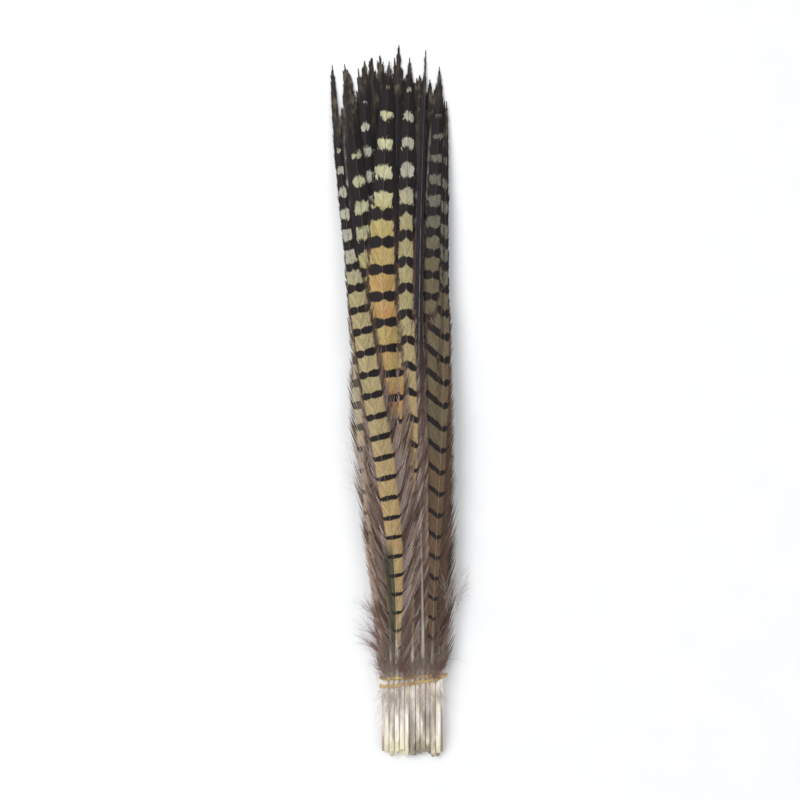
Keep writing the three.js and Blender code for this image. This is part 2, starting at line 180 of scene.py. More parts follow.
QUILL_SIDES = 12
QUILL_RINGS = 64
END_RINGS = (0.15, 8.0)  # this share of the rings is in the first millimetres
BARE_TO = 50  # from the quill ends, where quills no longer touch their neighbours
WEB_FROM, WEB_TO = 46, 84  # from the quill ends, where the quill narrows to the shaft between the webs
THINNEST_SHAFT = 0.16
HOLLOW = 1.2  # how deep a quill's open end is sunk
STAIN_FROM, STAIN_TO = 10.0, 20.0  # across the bundle, where the bare quills are stained brown
FREE_FROM = (62, 110)  # from the quill ends, where the band no longer holds the shafts down

# ---- Other numbers ----

USUAL_DARK_TIP = 26.0  # the dark tip that the bars' widths are drawn for
# How light the shafts of each tone are between the webs.
SHAFT_LIGHT = {"golden": 1.0, "cream": 1.0, "pale": 0.9, "olive": 0.35, "dusky": 0.1}
STEADY_AFTER = 60.0  # bars grow no further apart than this far above the one at bar_at
FEATHER_SEED = 4100  # and each feather's number
DOWN_SEED = 77
SIDE_POINTS = 0.707  # of the CAD shaft's radius, how far its side points are from the middle
GROUND_CELL = 0.8
GROUND_MARGIN = 24.0
MAP_COLUMNS = 4  # columns of barbs in a UV map
VANE_MAP = 0.9  # the share of a feather's UV map that the barbs take, beside the quill's
BAND_REACH = 6.0  # how far the band strays along the quills, about
CROSSING_LIFT = 1.2  # how far one turn of the band is lifted over the other
TURN_STEPS = 150  # sections of the rubber band in a turn
BAND_SIDES = 12
BAND_CORNERS = 0.6  # 1 makes the band's section an ellipse, and 0 a rectangle
DOWN_POINTS = 9
DOWN_PAST_BOX = ((9, 5, 0), (9, 5, 6))  # how far the down may reach past the CAD box, low and high


# ---- Number and mesh tools ----


def smoothstep(low, high, value):
    """0 below low, 1 above high, and a smooth rise between them."""
    share = np.clip((value - low) / (high - low), 0.0, 1.0)
    return share * share * (3.0 - 2.0 * share)


def eased(values, reach):
    """A smoothed copy of evenly spaced values, with both ends kept on their own slope."""
    reach = int(max(1, min(reach, (len(values) - 1) // 2)))
    kernel = np.hanning(2 * reach + 3)[1:-1]
    before = 2 * values[0] - values[reach:0:-1]
    after = 2 * values[-1] - values[-2 : -reach - 2 : -1]
    return np.convolve(np.concatenate([before, values, after]), kernel / kernel.sum(), "valid")


def drifting(rng, count, reach):
    """Random numbers around 0, mostly within 1, that drift from one to the next."""
    loose = rng.uniform(-1.0, 1.0, count + 4 * reach)
    kernel = np.hanning(2 * reach + 1)
    drift = np.convolve(loose, kernel / np.sqrt((kernel**2).sum()), "same")
    return np.clip(drift[2 * reach : 2 * reach + count], -1.6, 1.6)


def vertices_of(mesh):
    """A mesh's vertices, with a row for each."""
    places = np.empty(len(mesh.vertices) * 3, np.float32)
    mesh.vertices.foreach_get("co", places)
    return places.reshape(-1, 3)


class Ground:
    """The height of everything that has been laid so far, on a grid of square cells."""

    def __init__(self):
        low = np.array([CAD_LOW.x, CAD_LOW.y]) / MM - GROUND_MARGIN
        high = np.array([CAD_HIGH.x, CAD_HIGH.y]) / MM + GROUND_MARGIN
        self.low = low
        across, along = np.ceil((high - low) / GROUND_CELL).astype(int)
        self.height = np.zeros((along, across))
        self.settled = self.height.copy()

    def cells(self, x, y):
        """Where places are on the grid, as a row and a column with fractions."""
        column = np.clip((x - self.low[0]) / GROUND_CELL, 0, self.height.shape[1] - 1.001)
        row = np.clip((y - self.low[1]) / GROUND_CELL, 0, self.height.shape[0] - 1.001)
        return row, column

    def at(self, x, y):
        """The settled height at places, blended between the four cells round each."""
        row, column = self.cells(x, y)
        r, c = row.astype(int), column.astype(int)
        v, u = row - r, column - c
        h = self.settled
        lower = h[r, c] * (1 - u) + h[r, c + 1] * u
        upper = h[r + 1, c] * (1 - u) + h[r + 1, c + 1] * u
        return lower * (1 - v) + upper * v

    def lay(self, x, y, z):
        """Raises the ground to z at places, where it is lower."""
        row, column = self.cells(x, y)
        np.maximum.at(self.height, (np.rint(row).astype(int), np.rint(column).astype(int)), z)

    def settle(self):
        """Makes the heights ready to lie on: the gaps between barbs closed, and the steps softened."""
        h = self.height
        for axis in (0, 1):
            h = np.maximum(h, np.maximum(np.roll(h, 1, axis), np.roll(h, -1, axis)))
        for axis in (0, 1):
            h = (np.roll(h, 1, axis) + 2 * h + np.roll(h, -1, axis)) / 4
        self.settled = h


# ---- What the CAD says of a feather ----


class Feather:
    """A feather's shaft and firm web, read from its CAD solid, at every millimetre along it."""

    def __init__(self, name):
        self.name = name
        self.number = int(name.split("_")[1])
        self.rng = np.random.default_rng(FEATHER_SEED + self.number)
        places = np.unique(np.round(vertices_of(frame["nodes"][name].data) / MM, 3), axis=0)
        places = places[np.argsort(places[:, 1])]
        breaks = np.nonzero(np.diff(places[:, 1]) > 0.2)[0] + 1
        rings = [ring for ring in np.split(places, breaks) if len(ring) == 8]
        if len(rings) < 5:
            raise RuntimeError(f"{name}: the CAD solid's sections can't be read")
        rows = []
        for ring in rings:
            # From the left: the web's edge, two points of the shaft's side, its top and bottom, and so on.
            ring = ring[np.argsort(ring[:, 0])]
            middle = ring[3:5, 0].mean()
            radius = (ring[5:7, 0].mean() - ring[1:3, 0].mean()) / 2 / SIDE_POINTS
            height = ring[3:5, 2].min() + radius
            rows.append([ring[0, 1], middle, height, radius, middle - ring[0, 0], ring[-1, 0] - middle])
        rows = np.array(rows)
        self.end, self.tip = rows[0, 0], rows[-1, 0]
        self.y = np.linspace(self.end, self.tip, int(self.tip - self.end) + 1)
        x, z, radius, left, right = (np.interp(self.y, rows[:, 0], rows[:, k]) for k in range(1, 6))
        self.x, self.z = eased(x, 16), eased(z, 12)
        self.radius = radius
        self.core = (eased(left, 16), eased(right, 16))
        self.lean = np.gradient(self.x, self.y)

        drawn = {key: self.rng.uniform(low, high) for key, (low, high) in RANGES.items()}
        both_sides = {key: (drawn[key], drawn[key]) for key in ("climb", "fringe")}
        marks = MARKED.get(name, {})
        # Unless their light is marked, feathers below LOWER_LAYERS are darkened as painted shade.
        own_light_and_shade = marks.get("light", LOWER_PAINTED_SHADE if self.number < LOWER_LAYERS else 1.0)
        traits = {**PLAIN, **drawn, **both_sides, **marks, "light": own_light_and_shade * drawn["light"]}
        for key, value in traits.items():
            setattr(self, key, value)
        self.bar_at += QUILL_ENDS

    def cycle(self, y):
        """Bars passed by y, counted from the one at bar_at. Whole numbers are the middles of dark bars."""
        if not self.growth:
            return (y - self.bar_at) / self.spacing
        off = np.minimum(y - self.bar_at, STEADY_AFTER)
        grown = np.maximum(0.2, 1 + self.growth * off / self.spacing)
        beyond = (y - self.bar_at - off) / (self.spacing + self.growth * STEADY_AFTER)
        return np.log(grown) / self.growth + beyond


# ---- Laying a feather ----


def barbs_of(feather, side, rows, settings):
    """The barbs of one half of a vane, as arrays with a row for each barb and a column for each point."""
    rng = feather.rng
    count = len(rows)
    start = rows[0]
    share = (rows - start) / (feather.tip - start)
    hand = 0 if side < 0 else 1

    def width_at(y):
        """Half the width of the firm web, and of the whole vane."""
        along = np.clip((y - start) / (feather.tip - start), 0, 1.03)
        firm = np.interp(y, feather.y, feather.core[hand]) * feather.broad[hand]
        grown = smoothstep(feather.firm_from - 26, feather.firm_from + 4, y - QUILL_ENDS)
        rounded = np.clip((feather.tip + PAST_TIP - y) / TIP_ROUNDING, 0, 1) ** 0.7
        slim_from = feather.slim[0] + QUILL_ENDS
        slim = 1 + (feather.slim[1 + hand] - 1) * smoothstep(slim_from - 10, slim_from + 12, y)
        frayed = 1 + (feather.frayed - 1) * smoothstep(0.88, 0.97, along)
        loose = np.interp(along, SHARES, FRINGE_WIDTH) * feather.fringe[hand] * frayed
        loose = loose * settings.fringe_width / (WIDEST_FRINGE * MM)
        return (
            firm * rounded * slim * (LOOSE_CORE + (1 - LOOSE_CORE) * grown),
            (firm + loose) * rounded * slim,
        )

    # A barb ends where the vane's outline is at its own end, which a few steps find.
    advance = np.interp(share, SHARES, ADVANCE) * (1 + 0.12 * drifting(rng, count, 30))
    reach = width_at(rows)[1]
    for _ in range(5):
        reach = 0.5 * reach + 0.5 * width_at(rows + advance * reach)[1]
    at_tip = smoothstep(0.9, 0.98, share)
    ragged = 1 + 0.09 * drifting(rng, count, 5) + rng.uniform(-0.13, 0.05, count)
    ragged += at_tip * (0.25 * drifting(rng, count, 3) - 0.1)
    reach = np.maximum(0.25, reach * ragged)
    firm = width_at(rows + advance * reach * 0.6)[0]
    firm = np.minimum(firm, reach * 0.92)

    out = reach[:, None] * BARB_POINTS
    ahead = advance[:, None] * out * (0.8 + 0.4 * BARB_POINTS)
    # Barbs hang together in clumps that part from each other at the edge.
    clump = np.cumsum(rng.uniform(0.5, 1.5, count)) / rng.uniform(CLUMP, CLUMP + 3)
    tuft = rng.random(int(clump[-1]) + 2)[clump.astype(int)]
    pull = (clump % 1.0 - 0.5) * CLUMP * settings.barb_spacing / MM
    loose = smoothstep(0.45, 1.0, BARB_POINTS)[None, :] * np.clip((reach - firm) / 5.0, 0.06, 1.0)[:, None]
    ahead -= pull[:, None] * loose * CLUMPING
    stray = rng.normal(0, 1, count) * (rng.random(count) < STRAY_BARBS)
    ahead += stray[:, None] * loose * 1.5 * BARB_POINTS**2
    out = out * (1 + 0.04 * loose * drifting(rng, count, 3)[:, None])
    out *= 1 - 0.55 * smoothstep(0.975, 1.0, share)[:, None] * BARB_POINTS

    lean = np.interp(rows, feather.y, feather.lean)
    over = 1 / np.sqrt(1 + lean**2)
    tangent = np.stack([lean * over, over], axis=1)[:, None, :]
    normal = np.stack([over, -lean * over], axis=1)[:, None, :]
    root = np.stack([np.interp(rows, feather.y, feather.x), rows], axis=1)[:, None, :]
    place = root + tangent * ahead[..., None] + side * normal * out[..., None]

    # rim is 0 at the shaft, 1 at the edge of the firm web and 2 at a barb's loose end.
    firm = firm[:, None]
    past_edge = 1 + (out - firm) / np.maximum(reach[:, None] - firm, 0.3)
    rim = np.where(out <= firm, out / np.maximum(firm, 0.3), past_edge)
    level = rows[:, None] + ahead
    bars = level - feather.climb[hand] * np.minimum(out, firm)
    bars = bars - 0.75 * advance[:, None] * np.maximum(0, out - firm)
    return {
        "place": place,
        "out": out,
        "rim": np.clip(rim, 0, 2),
        "level": level,
        "cycle": feather.cycle(bars),
        "advance": advance,
        "firm": firm,
        "chance": rng.random(count)[:, None],
        "tuft": tuft[:, None],
        "loose": loose,
    }


def drape(feather, half, ground, settings):
    """Gives the barbs of one half their heights: they droop until they meet what lies below."""
    x, y = half["place"][..., 0], half["place"][..., 1]
    radius = np.interp(y, feather.y, feather.radius)
    root = np.interp(y, feather.y, feather.z) + BARB_ROOT * radius
    out, firm = half["out"], half["firm"]
    droop = settings.droop * np.minimum(out, firm)
    droop = droop + (settings.droop + FRINGE_DROOP) * np.maximum(0, out - firm)
    floor = ground.at(x, y) + settings.layer_gap / MM
    height = np.maximum(root - droop, floor)
    # A barb's inner points rise with its outer ones, and neighbouring barbs lie alike.
    for k in range(height.shape[1] - 2, 0, -1):
        height[:, k] = np.maximum(height[:, k], height[:, k + 1] - STEEPEST * (out[:, k + 1] - out[:, k]))
    for k in range(1, height.shape[1]):
        height[:, k] = np.maximum(eased(height[:, k], 5), floor[:, k] - 0.05)
    lift = half["loose"] * (0.25 + 0.6 * np.abs(drifting(feather.rng, len(out), 4))[:, None])
    return np.maximum(height + lift * BARB_POINTS**2, LOWEST)


def lay_feather(feather, ground, settings):
    """Both halves of a feather's vane with their heights, and the shaft raised to clear what is below it."""
    x, y = feather.x, feather.y
    # The shaft clears the ground by most of its radius, and bends up to that over reach millimetres.
    needed = ground.at(x, y) + 0.8 * feather.radius
    short = np.clip(needed - feather.z, 0, None) * smoothstep(*FREE_FROM, y - QUILL_ENDS)
    reach = 14
    padded = np.pad(short, reach, mode="edge")
    raised = np.max([padded[k : k + len(short)] for k in range(2 * reach + 1)], axis=0)
    feather.z = feather.z + eased(raised, reach)

    first = QUILL_ENDS + settings.vane_start / MM + feather.rng.uniform(-2, 4)
    spacing = settings.barb_spacing / MM * (OPENNESS if feather.number <= OPEN_LAYERS else 1.0)
    rows = np.arange(first, feather.tip - 0.4, spacing)
    rows = rows + feather.rng.uniform(-SPACING_JITTER, SPACING_JITTER, len(rows)) * spacing
    halves = []
    for side in (-1, 1):
        half = barbs_of(feather, side, rows, settings)
        half["height"] = drape(feather, half, ground, settings)
        halves.append(half)
    # Later feathers lie on all but the loose ends of these barbs, and on the shaft.
    a, b = slice(0, -1), slice(1, None)
    for half in halves:
        solid = half["rim"] <= BEARING
        keep = solid[:, a] & solid[:, b]
        for share in np.linspace(0, 1, 6)[:-1]:
            place = half["place"][:, a] * (1 - share) + half["place"][:, b] * share
            height = half["height"][:, a] * (1 - share) + half["height"][:, b] * share
            ground.lay(place[..., 0][keep], place[..., 1][keep], height[keep])
    fine_y = np.arange(y[0], y[-1], 0.5)
    fine_x, fine_z, fine_r = (np.interp(fine_y, y, line) for line in (x, feather.z, feather.radius))
    for off, rise in ((-0.7, 0.55), (0.0, 0.85), (0.7, 0.55)):
        ground.lay(fine_x + off * fine_r, fine_y, fine_z + rise * fine_r)
    ground.settle()
    return rows, halves


# ---- Meshes ----


def mesh_of(builder, name):
    """The mesh that a builder has made."""
    mesh = bpy.data.meshes.new(name)
    builder.to_mesh(mesh)
    builder.free()
    return mesh


def place_vertices(mesh, places):
    """Moves a mesh's vertices to places in millimetres."""
    mesh.vertices.foreach_set("co", (places * MM).astype(np.float32).ravel())


def set_attributes(mesh, **values):
    """Stores each value under its name, as one number for all the vertices or one for each."""
    for name, numbers in values.items():
        attribute = mesh.attributes.new(name, "FLOAT", "POINT")
        attribute.data.foreach_set("value", np.full(len(mesh.vertices), numbers, np.float32))


def ribbon_sheet(builder, ribbons, points, middle_gap):
    """A flat grid with a strip of faces for each ribbon, and none between ribbons or in the middle."""
    columns, rows = points, 2 * ribbons
    made = bmesh.ops.create_grid(builder, x_segments=columns - 1, y_segments=rows - 1, size=1.0)
    if len(made["verts"]) != columns * rows:
        raise RuntimeError("the grid has another number of vertices than expected")
    unwanted = []
    for face in builder.faces:
        centre = face.calc_center_median()
        row = int((centre.y + 1) / 2 * (rows - 1))
        column = int((centre.x + 1) / 2 * (columns - 1))
        if row % 2 == 1 or (middle_gap and column == columns // 2 - 1):
            unwanted.append(face)
    bmesh.ops.delete(builder, geom=unwanted, context="FACES")
    return columns, rows


def grid_places(flat, columns, rows):
    """Row and column of vertices in the grid that they were made in."""
    column = np.rint((flat[:, 0] + 1) / 2 * (columns - 1)).astype(int)
    row = np.rint((flat[:, 1] + 1) / 2 * (rows - 1)).astype(int)
    return row, column


def ribbon_map(row, column, ribbons, columns, width):
    """Places in a UV map for the vertices of a ribbon sheet, in columns that take up this share of it."""
    ribbon = row // 2
    strip = ribbon * MAP_COLUMNS // ribbons
    within = (ribbon - np.ceil(strip * ribbons / MAP_COLUMNS)) / (ribbons / MAP_COLUMNS)
    v = np.clip((within * 0.98 + (row % 2) * 0.7 * MAP_COLUMNS / ribbons) + 0.005, 0.002, 0.998)
    u = (strip + 0.03 + 0.94 * column / (columns - 1)) / MAP_COLUMNS * width
    return np.stack([u, v], 1)


def set_bake_map(mesh, places):
    """The piece's own UV map, from a place for each vertex."""
    layer = mesh.uv_layers.new(name="OFBake")
    corners = np.empty(len(mesh.loops), np.int32)
    mesh.loops.foreach_get("vertex_index", corners)
    layer.data.foreach_set("uv", places[corners].astype(np.float32).ravel())


def link_new(name, data):
    """A new object with this data, in the scene."""
    made = bpy.data.objects.new(name, data)
    bpy.context.scene.collection.objects.link(made)
    return made


def add_piece(mesh, name, materials, replaced=None):
    """Links a finished mesh as a piece that rides on the bundle."""
    mesh.update()
    mesh.shade_smooth()
    piece = link_new(name, mesh)
    for material in materials:
        mesh.materials.append(material)
    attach(piece, BODY)
    if replaced:
        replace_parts(piece, replaced)


def ribbon_edges(place, height, width, roll):
    """The two long edges of ribbons that follow their middle lines, the lower edge first."""
    along = np.gradient(place, axis=1)
    pace = np.maximum(np.linalg.norm(along, axis=2, keepdims=True), 1e-6)
    across = np.stack([-along[..., 1], along[..., 0]], axis=2) / pace
    across *= np.where(across[..., 1:2] < 0, -1, 1)
    half = width[..., None] / 2
    rise = (width / 2 * roll)[..., None]
    middle = np.concatenate([place, height[..., None]], axis=2)
    offset = np.concatenate([across * half, rise], axis=2)
    return middle - offset, middle + offset


def add_quill(builder):
    """A closed tube along Z from -1 to 1, of the second material, with two rings inside its low end."""
    first = len(builder.verts)
    made = bmesh.ops.create_cone(
        builder, cap_ends=True, cap_tris=False, segments=QUILL_SIDES, radius1=1.0, radius2=1.0, depth=2.0
    )
    verts = set(made["verts"])
    upright = [
        edge for edge in builder.edges
        if edge.verts[0] in verts and abs(edge.verts[0].co.z - edge.verts[1].co.z) > 0.5
    ]
    bmesh.ops.subdivide_edges(builder, edges=upright, cuts=QUILL_RINGS - 2, use_grid_fill=False)
    builder.verts.index_update()
    faces = [face for face in builder.faces if face.verts[0].index >= first]
    for face in faces:
        face.material_index = 1
    low_end = [face for face in faces if len(face.verts) == QUILL_SIDES and face.calc_center_median().z < 0]
    bmesh.ops.inset_individual(builder, faces=low_end, thickness=0.35, depth=0.0)
    bmesh.ops.inset_individual(builder, faces=low_end, thickness=0.25, depth=-0.02)


def vane_vertices(rows, halves, columns, grid_rows, settings):
    """Places and values for a vane's grid, where a row is an edge of a left barb and then of a right one."""
    places = np.zeros((grid_rows, columns, 3))
    values = {key: np.zeros((grid_rows, columns)) for key in ("cycle", "rim", "level", "chance", "tuft")}
    hair = settings.hair_width / MM
    # The left half of a row is turned round, because its barb starts in the middle.
    targets = (slice(columns // 2 - 1, None, -1), slice(columns // 2, None))
    for half, target in zip(halves, targets):
        spread = 1 / np.sqrt(1 + half["advance"] ** 2)
        full = settings.overlap * (np.gradient(rows) * spread)[:, None]
        width = np.where(half["rim"] <= 1, full, full + (hair - full) * smoothstep(0.9, 2.0, half["rim"]))
        width = np.maximum(width, hair) * (1 - 0.75 * (BARB_POINTS == 1.0))
        lower, upper = ribbon_edges(half["place"], half["height"], width, settings.roll)
        places[0::2, target] = lower
        places[1::2, target] = upper
        for key, item in values.items():
            item[0::2, target] = half[key]
            item[1::2, target] = half[key]
    return places, values


def quill_vertices(feather, tube, settings):
    """Places for a tube's vertices as the quill and shaft, and each one's share of the way and its angle."""
    share = np.clip((tube[:, 2] + 1) / 2, 0, 1)
    end_share, end_length = END_RINGS
    past_end = (share - end_share) / (1 - end_share) * (feather.tip - feather.end - end_length)
    along = np.where(share < end_share, share / end_share * end_length, end_length + past_end)
    sunk = tube[:, 2] < -1.0001
    y = np.where(sunk, feather.end + HOLLOW, feather.end + along)
    around = np.arctan2(tube[:, 1], tube[:, 0])
    size = np.hypot(tube[:, 0], tube[:, 1])
    from_end = y - QUILL_ENDS
    webbed = smoothstep(WEB_FROM, WEB_TO, from_end)
    wobble = 1 + 0.03 * np.sin(from_end * 0.23 + feather.number) * (1 - webbed)
    radius = np.maximum(np.interp(y, feather.y, feather.radius) * wobble, THINNEST_SHAFT)
    # Bare quills are wide enough to touch their neighbours.
    touching = np.maximum(radius * settings.quill_fullness, settings.quill_width / MM / 2)
    wider = (touching - radius) * smoothstep(0, 4, from_end)
    wider = wider * (1 - smoothstep(BARE_TO - 10, BARE_TO, from_end))
    half_width = (radius + wider) * (1 - webbed)
    half_width = half_width + radius * settings.shaft_narrowness * feather.shaft * webbed
    flattened = np.where(np.sin(around) > 0, 1 - 0.1 * webbed, 1)
    x = np.interp(y, feather.y, feather.x) + np.cos(around) * size * half_width
    z = np.interp(y, feather.y, feather.z) + np.sin(around) * size * radius * flattened
    return np.stack([x, y, np.maximum(z, 0.05)], axis=1), share, around


def feather_mesh(feather, rows, halves, settings):
    """One feather: the barbs of both halves as ribbons, and the quill and shaft as one tube."""
    builder = bmesh.new()
    columns, grid_rows = ribbon_sheet(builder, len(rows), 2 * len(BARB_POINTS), True)
    add_quill(builder)
    mesh = mesh_of(builder, f"tail_{feather.name}")
    flat = vertices_of(mesh)
    vane_count = columns * grid_rows
    row, column = grid_places(flat[:vane_count], columns, grid_rows)
    places, values = vane_vertices(rows, halves, columns, grid_rows, settings)
    values = {key: item[row, column] for key, item in values.items()}
    quill, share, around = quill_vertices(feather, flat[vane_count:], settings)
    place_vertices(mesh, np.concatenate([places[row, column], quill]))

    def joined(vane, on_quill):
        return np.concatenate([vane, np.broadcast_to(on_quill, len(quill))])

    x, y = quill[:, 0], quill[:, 1]
    stained = smoothstep(-4, 0, x - STAIN_FROM) * (1 - smoothstep(0, 4, x - STAIN_TO))
    quill_chance = np.maximum(feather.rng.random(), stained * 0.95)
    tint = feather.rng.random()
    above_end = values["level"] - QUILL_ENDS
    # Painted shade: low on the vane, the left web is darkened towards dark olive as if turned away from the
    # light.
    gloom = (column < columns // 2) * (1 - smoothstep(feather.gloom - 14, feather.gloom, above_end))
    set_attributes(
        mesh,
        bar_cycle=joined(values["cycle"], feather.cycle(y)),
        rim=joined(values["rim"], 0.0),
        chance=joined(values["chance"], quill_chance),
        tuft=joined(values["tuft"], 0.0),
        gloom=joined(gloom, 0.0),
        from_end=joined(above_end, y - QUILL_ENDS),
        from_tip=feather.tip + (USUAL_DARK_TIP - feather.dark_tip) - joined(values["level"], y),
        pale_to=feather.pale_to,
        bar_strength=feather.strength,
        bar_width=feather.bar_width,
        feather_light=feather.light,
        feather_tint=tint if feather.tint is None else feather.tint,
        shaft_light=SHAFT_LIGHT[tone_of(feather.name)],
    )
    quill_map = [VANE_MAP + 0.01 + 0.08 * (around / (2 * math.pi) + 0.5), 0.01 + 0.98 * share]
    vane_map = ribbon_map(row, column, len(rows), columns, VANE_MAP)
    set_bake_map(mesh, np.concatenate([vane_map, np.stack(quill_map, 1)]))
    return mesh


# ---- Shader tools ----


class Graph:
    """Short ways to add and link the nodes of a material or a node group."""

    def __init__(self, tree):
        self.tree = tree

    def add(self, kind, inputs=(), **settings):
        """A new node with these settings, and sockets linked or set by their names."""
        made = self.tree.nodes.new(kind)
        for key, value in settings.items():
            setattr(made, key, value)
        self.fill(made, dict(inputs))
        return made

    def fill(self, node, inputs):
        for key, value in inputs.items():
            self.feed(node.inputs[key], value)

    def feed_all(self, sockets, values):
        for socket, value in zip(sockets, values):
            self.feed(socket, value)

    def feed(self, socket, value):
        """Links a socket, or gives it a constant. A constant colour has red, green and blue."""
        if isinstance(value, bpy.types.NodeSocket):
            self.tree.links.new(value, socket)
        elif socket.type == "RGBA":
            socket.default_value = (*value, 1.0)
        else:
            socket.default_value = value

    def math(self, operation, *values, clamp=False):
        made = self.add("ShaderNodeMath", operation=operation, use_clamp=clamp)
        self.feed_all(made.inputs, values)
        return made.outputs[0]

    def times(self, a, b):
        return self.math("MULTIPLY", a, b)

    def opposite(self, value):
        """1 where value is 0, and 0 where it is 1."""
        return self.math("SUBTRACT", 1.0, value)

    def rise(self, value, low, high, to_low=0.0, to_high=1.0):
        """A smooth change from to_low to to_high as value goes from low to high."""
        made = self.add("ShaderNodeMapRange", interpolation_type="SMOOTHSTEP")
        self.feed_all(made.inputs, (value, low, high, to_low, to_high))
        return made.outputs[0]

    def blend(self, factor, a, b):
        """The value a where factor is 0, and b where it is 1."""
        made = self.add("ShaderNodeMix", data_type="FLOAT")
        self.feed_all(made.inputs[:1] + made.inputs[2:4], (factor, a, b))
        return made.outputs[0]

    def mix(self, factor, a, b, blend="MIX"):
        """The colour a where factor is 0, and b where it is 1."""
        made = self.add("ShaderNodeMix", data_type="RGBA", blend_type=blend)
        self.feed_all(made.inputs[:1] + made.inputs[6:8], (factor, a, b))
        return made.outputs[2]

    def attribute(self, name):
        return self.add("ShaderNodeAttribute", attribute_type="GEOMETRY", attribute_name=name).outputs["Fac"]

    def noise(self, vector, scale, detail):
        inputs = {"Vector": vector, "Scale": scale, "Detail": detail}
        return self.add("ShaderNodeTexNoise", inputs).outputs["Fac"]

    def grain(self, scales, detail):
        """Noise over the object, with a scale for each axis."""
        coordinates = self.add("ShaderNodeTexCoord").outputs["Object"]
        stretched = self.add("ShaderNodeMapping", {"Vector": coordinates, "Scale": scales}).outputs[0]
        return self.noise(stretched, 1.0, detail)

    def bump(self, height, strength, distance):
        inputs = {"Height": height, "Strength": strength, "Distance": distance}
        return self.add("ShaderNodeBump", inputs).outputs[0]

    def curve(self, value, points):
        """The line through points as (value, result), in the order of their values from 0 up."""
        high = points[-1][0]
        scaled = self.math("DIVIDE", value, high, clamp=True)
        made = self.add("ShaderNodeValToRGB", {"Fac": scaled})
        made.color_ramp.interpolation = "LINEAR"
        elements = made.color_ramp.elements
        while len(elements) < len(points):
            elements.new(0.5)
        for element, (at, result) in zip(elements, points):
            element.position = at / high
            element.color = (result, result, result, 1) if np.isscalar(result) else (*result, 1)
        return made.outputs["Color"]


def linear(red, green, blue):
    """A screen colour from 0 to 255 as the linear colour that shaders take."""
    def convert(value):
        share = value / 255
        return share / 12.92 if share <= 0.04045 else ((share + 0.055) / 1.055) ** 2.4
    return (convert(red), convert(green), convert(blue))


def new_group(name, inputs, outputs):
    """A node group with these value sockets, a Graph to fill it, and its nodes for what goes in and out."""
    tree = bpy.data.node_groups.new(name, "ShaderNodeTree")
    for label, default in inputs.items():
        socket = tree.interface.new_socket(label, in_out="INPUT", socket_type="NodeSocketFloat")
        socket.default_value = default
    for label in outputs:
        tree.interface.new_socket(label, in_out="OUTPUT", socket_type="NodeSocketFloat")
    graph = Graph(tree)
    return tree, graph, graph.add("NodeGroupInput"), graph.add("NodeGroupOutput")


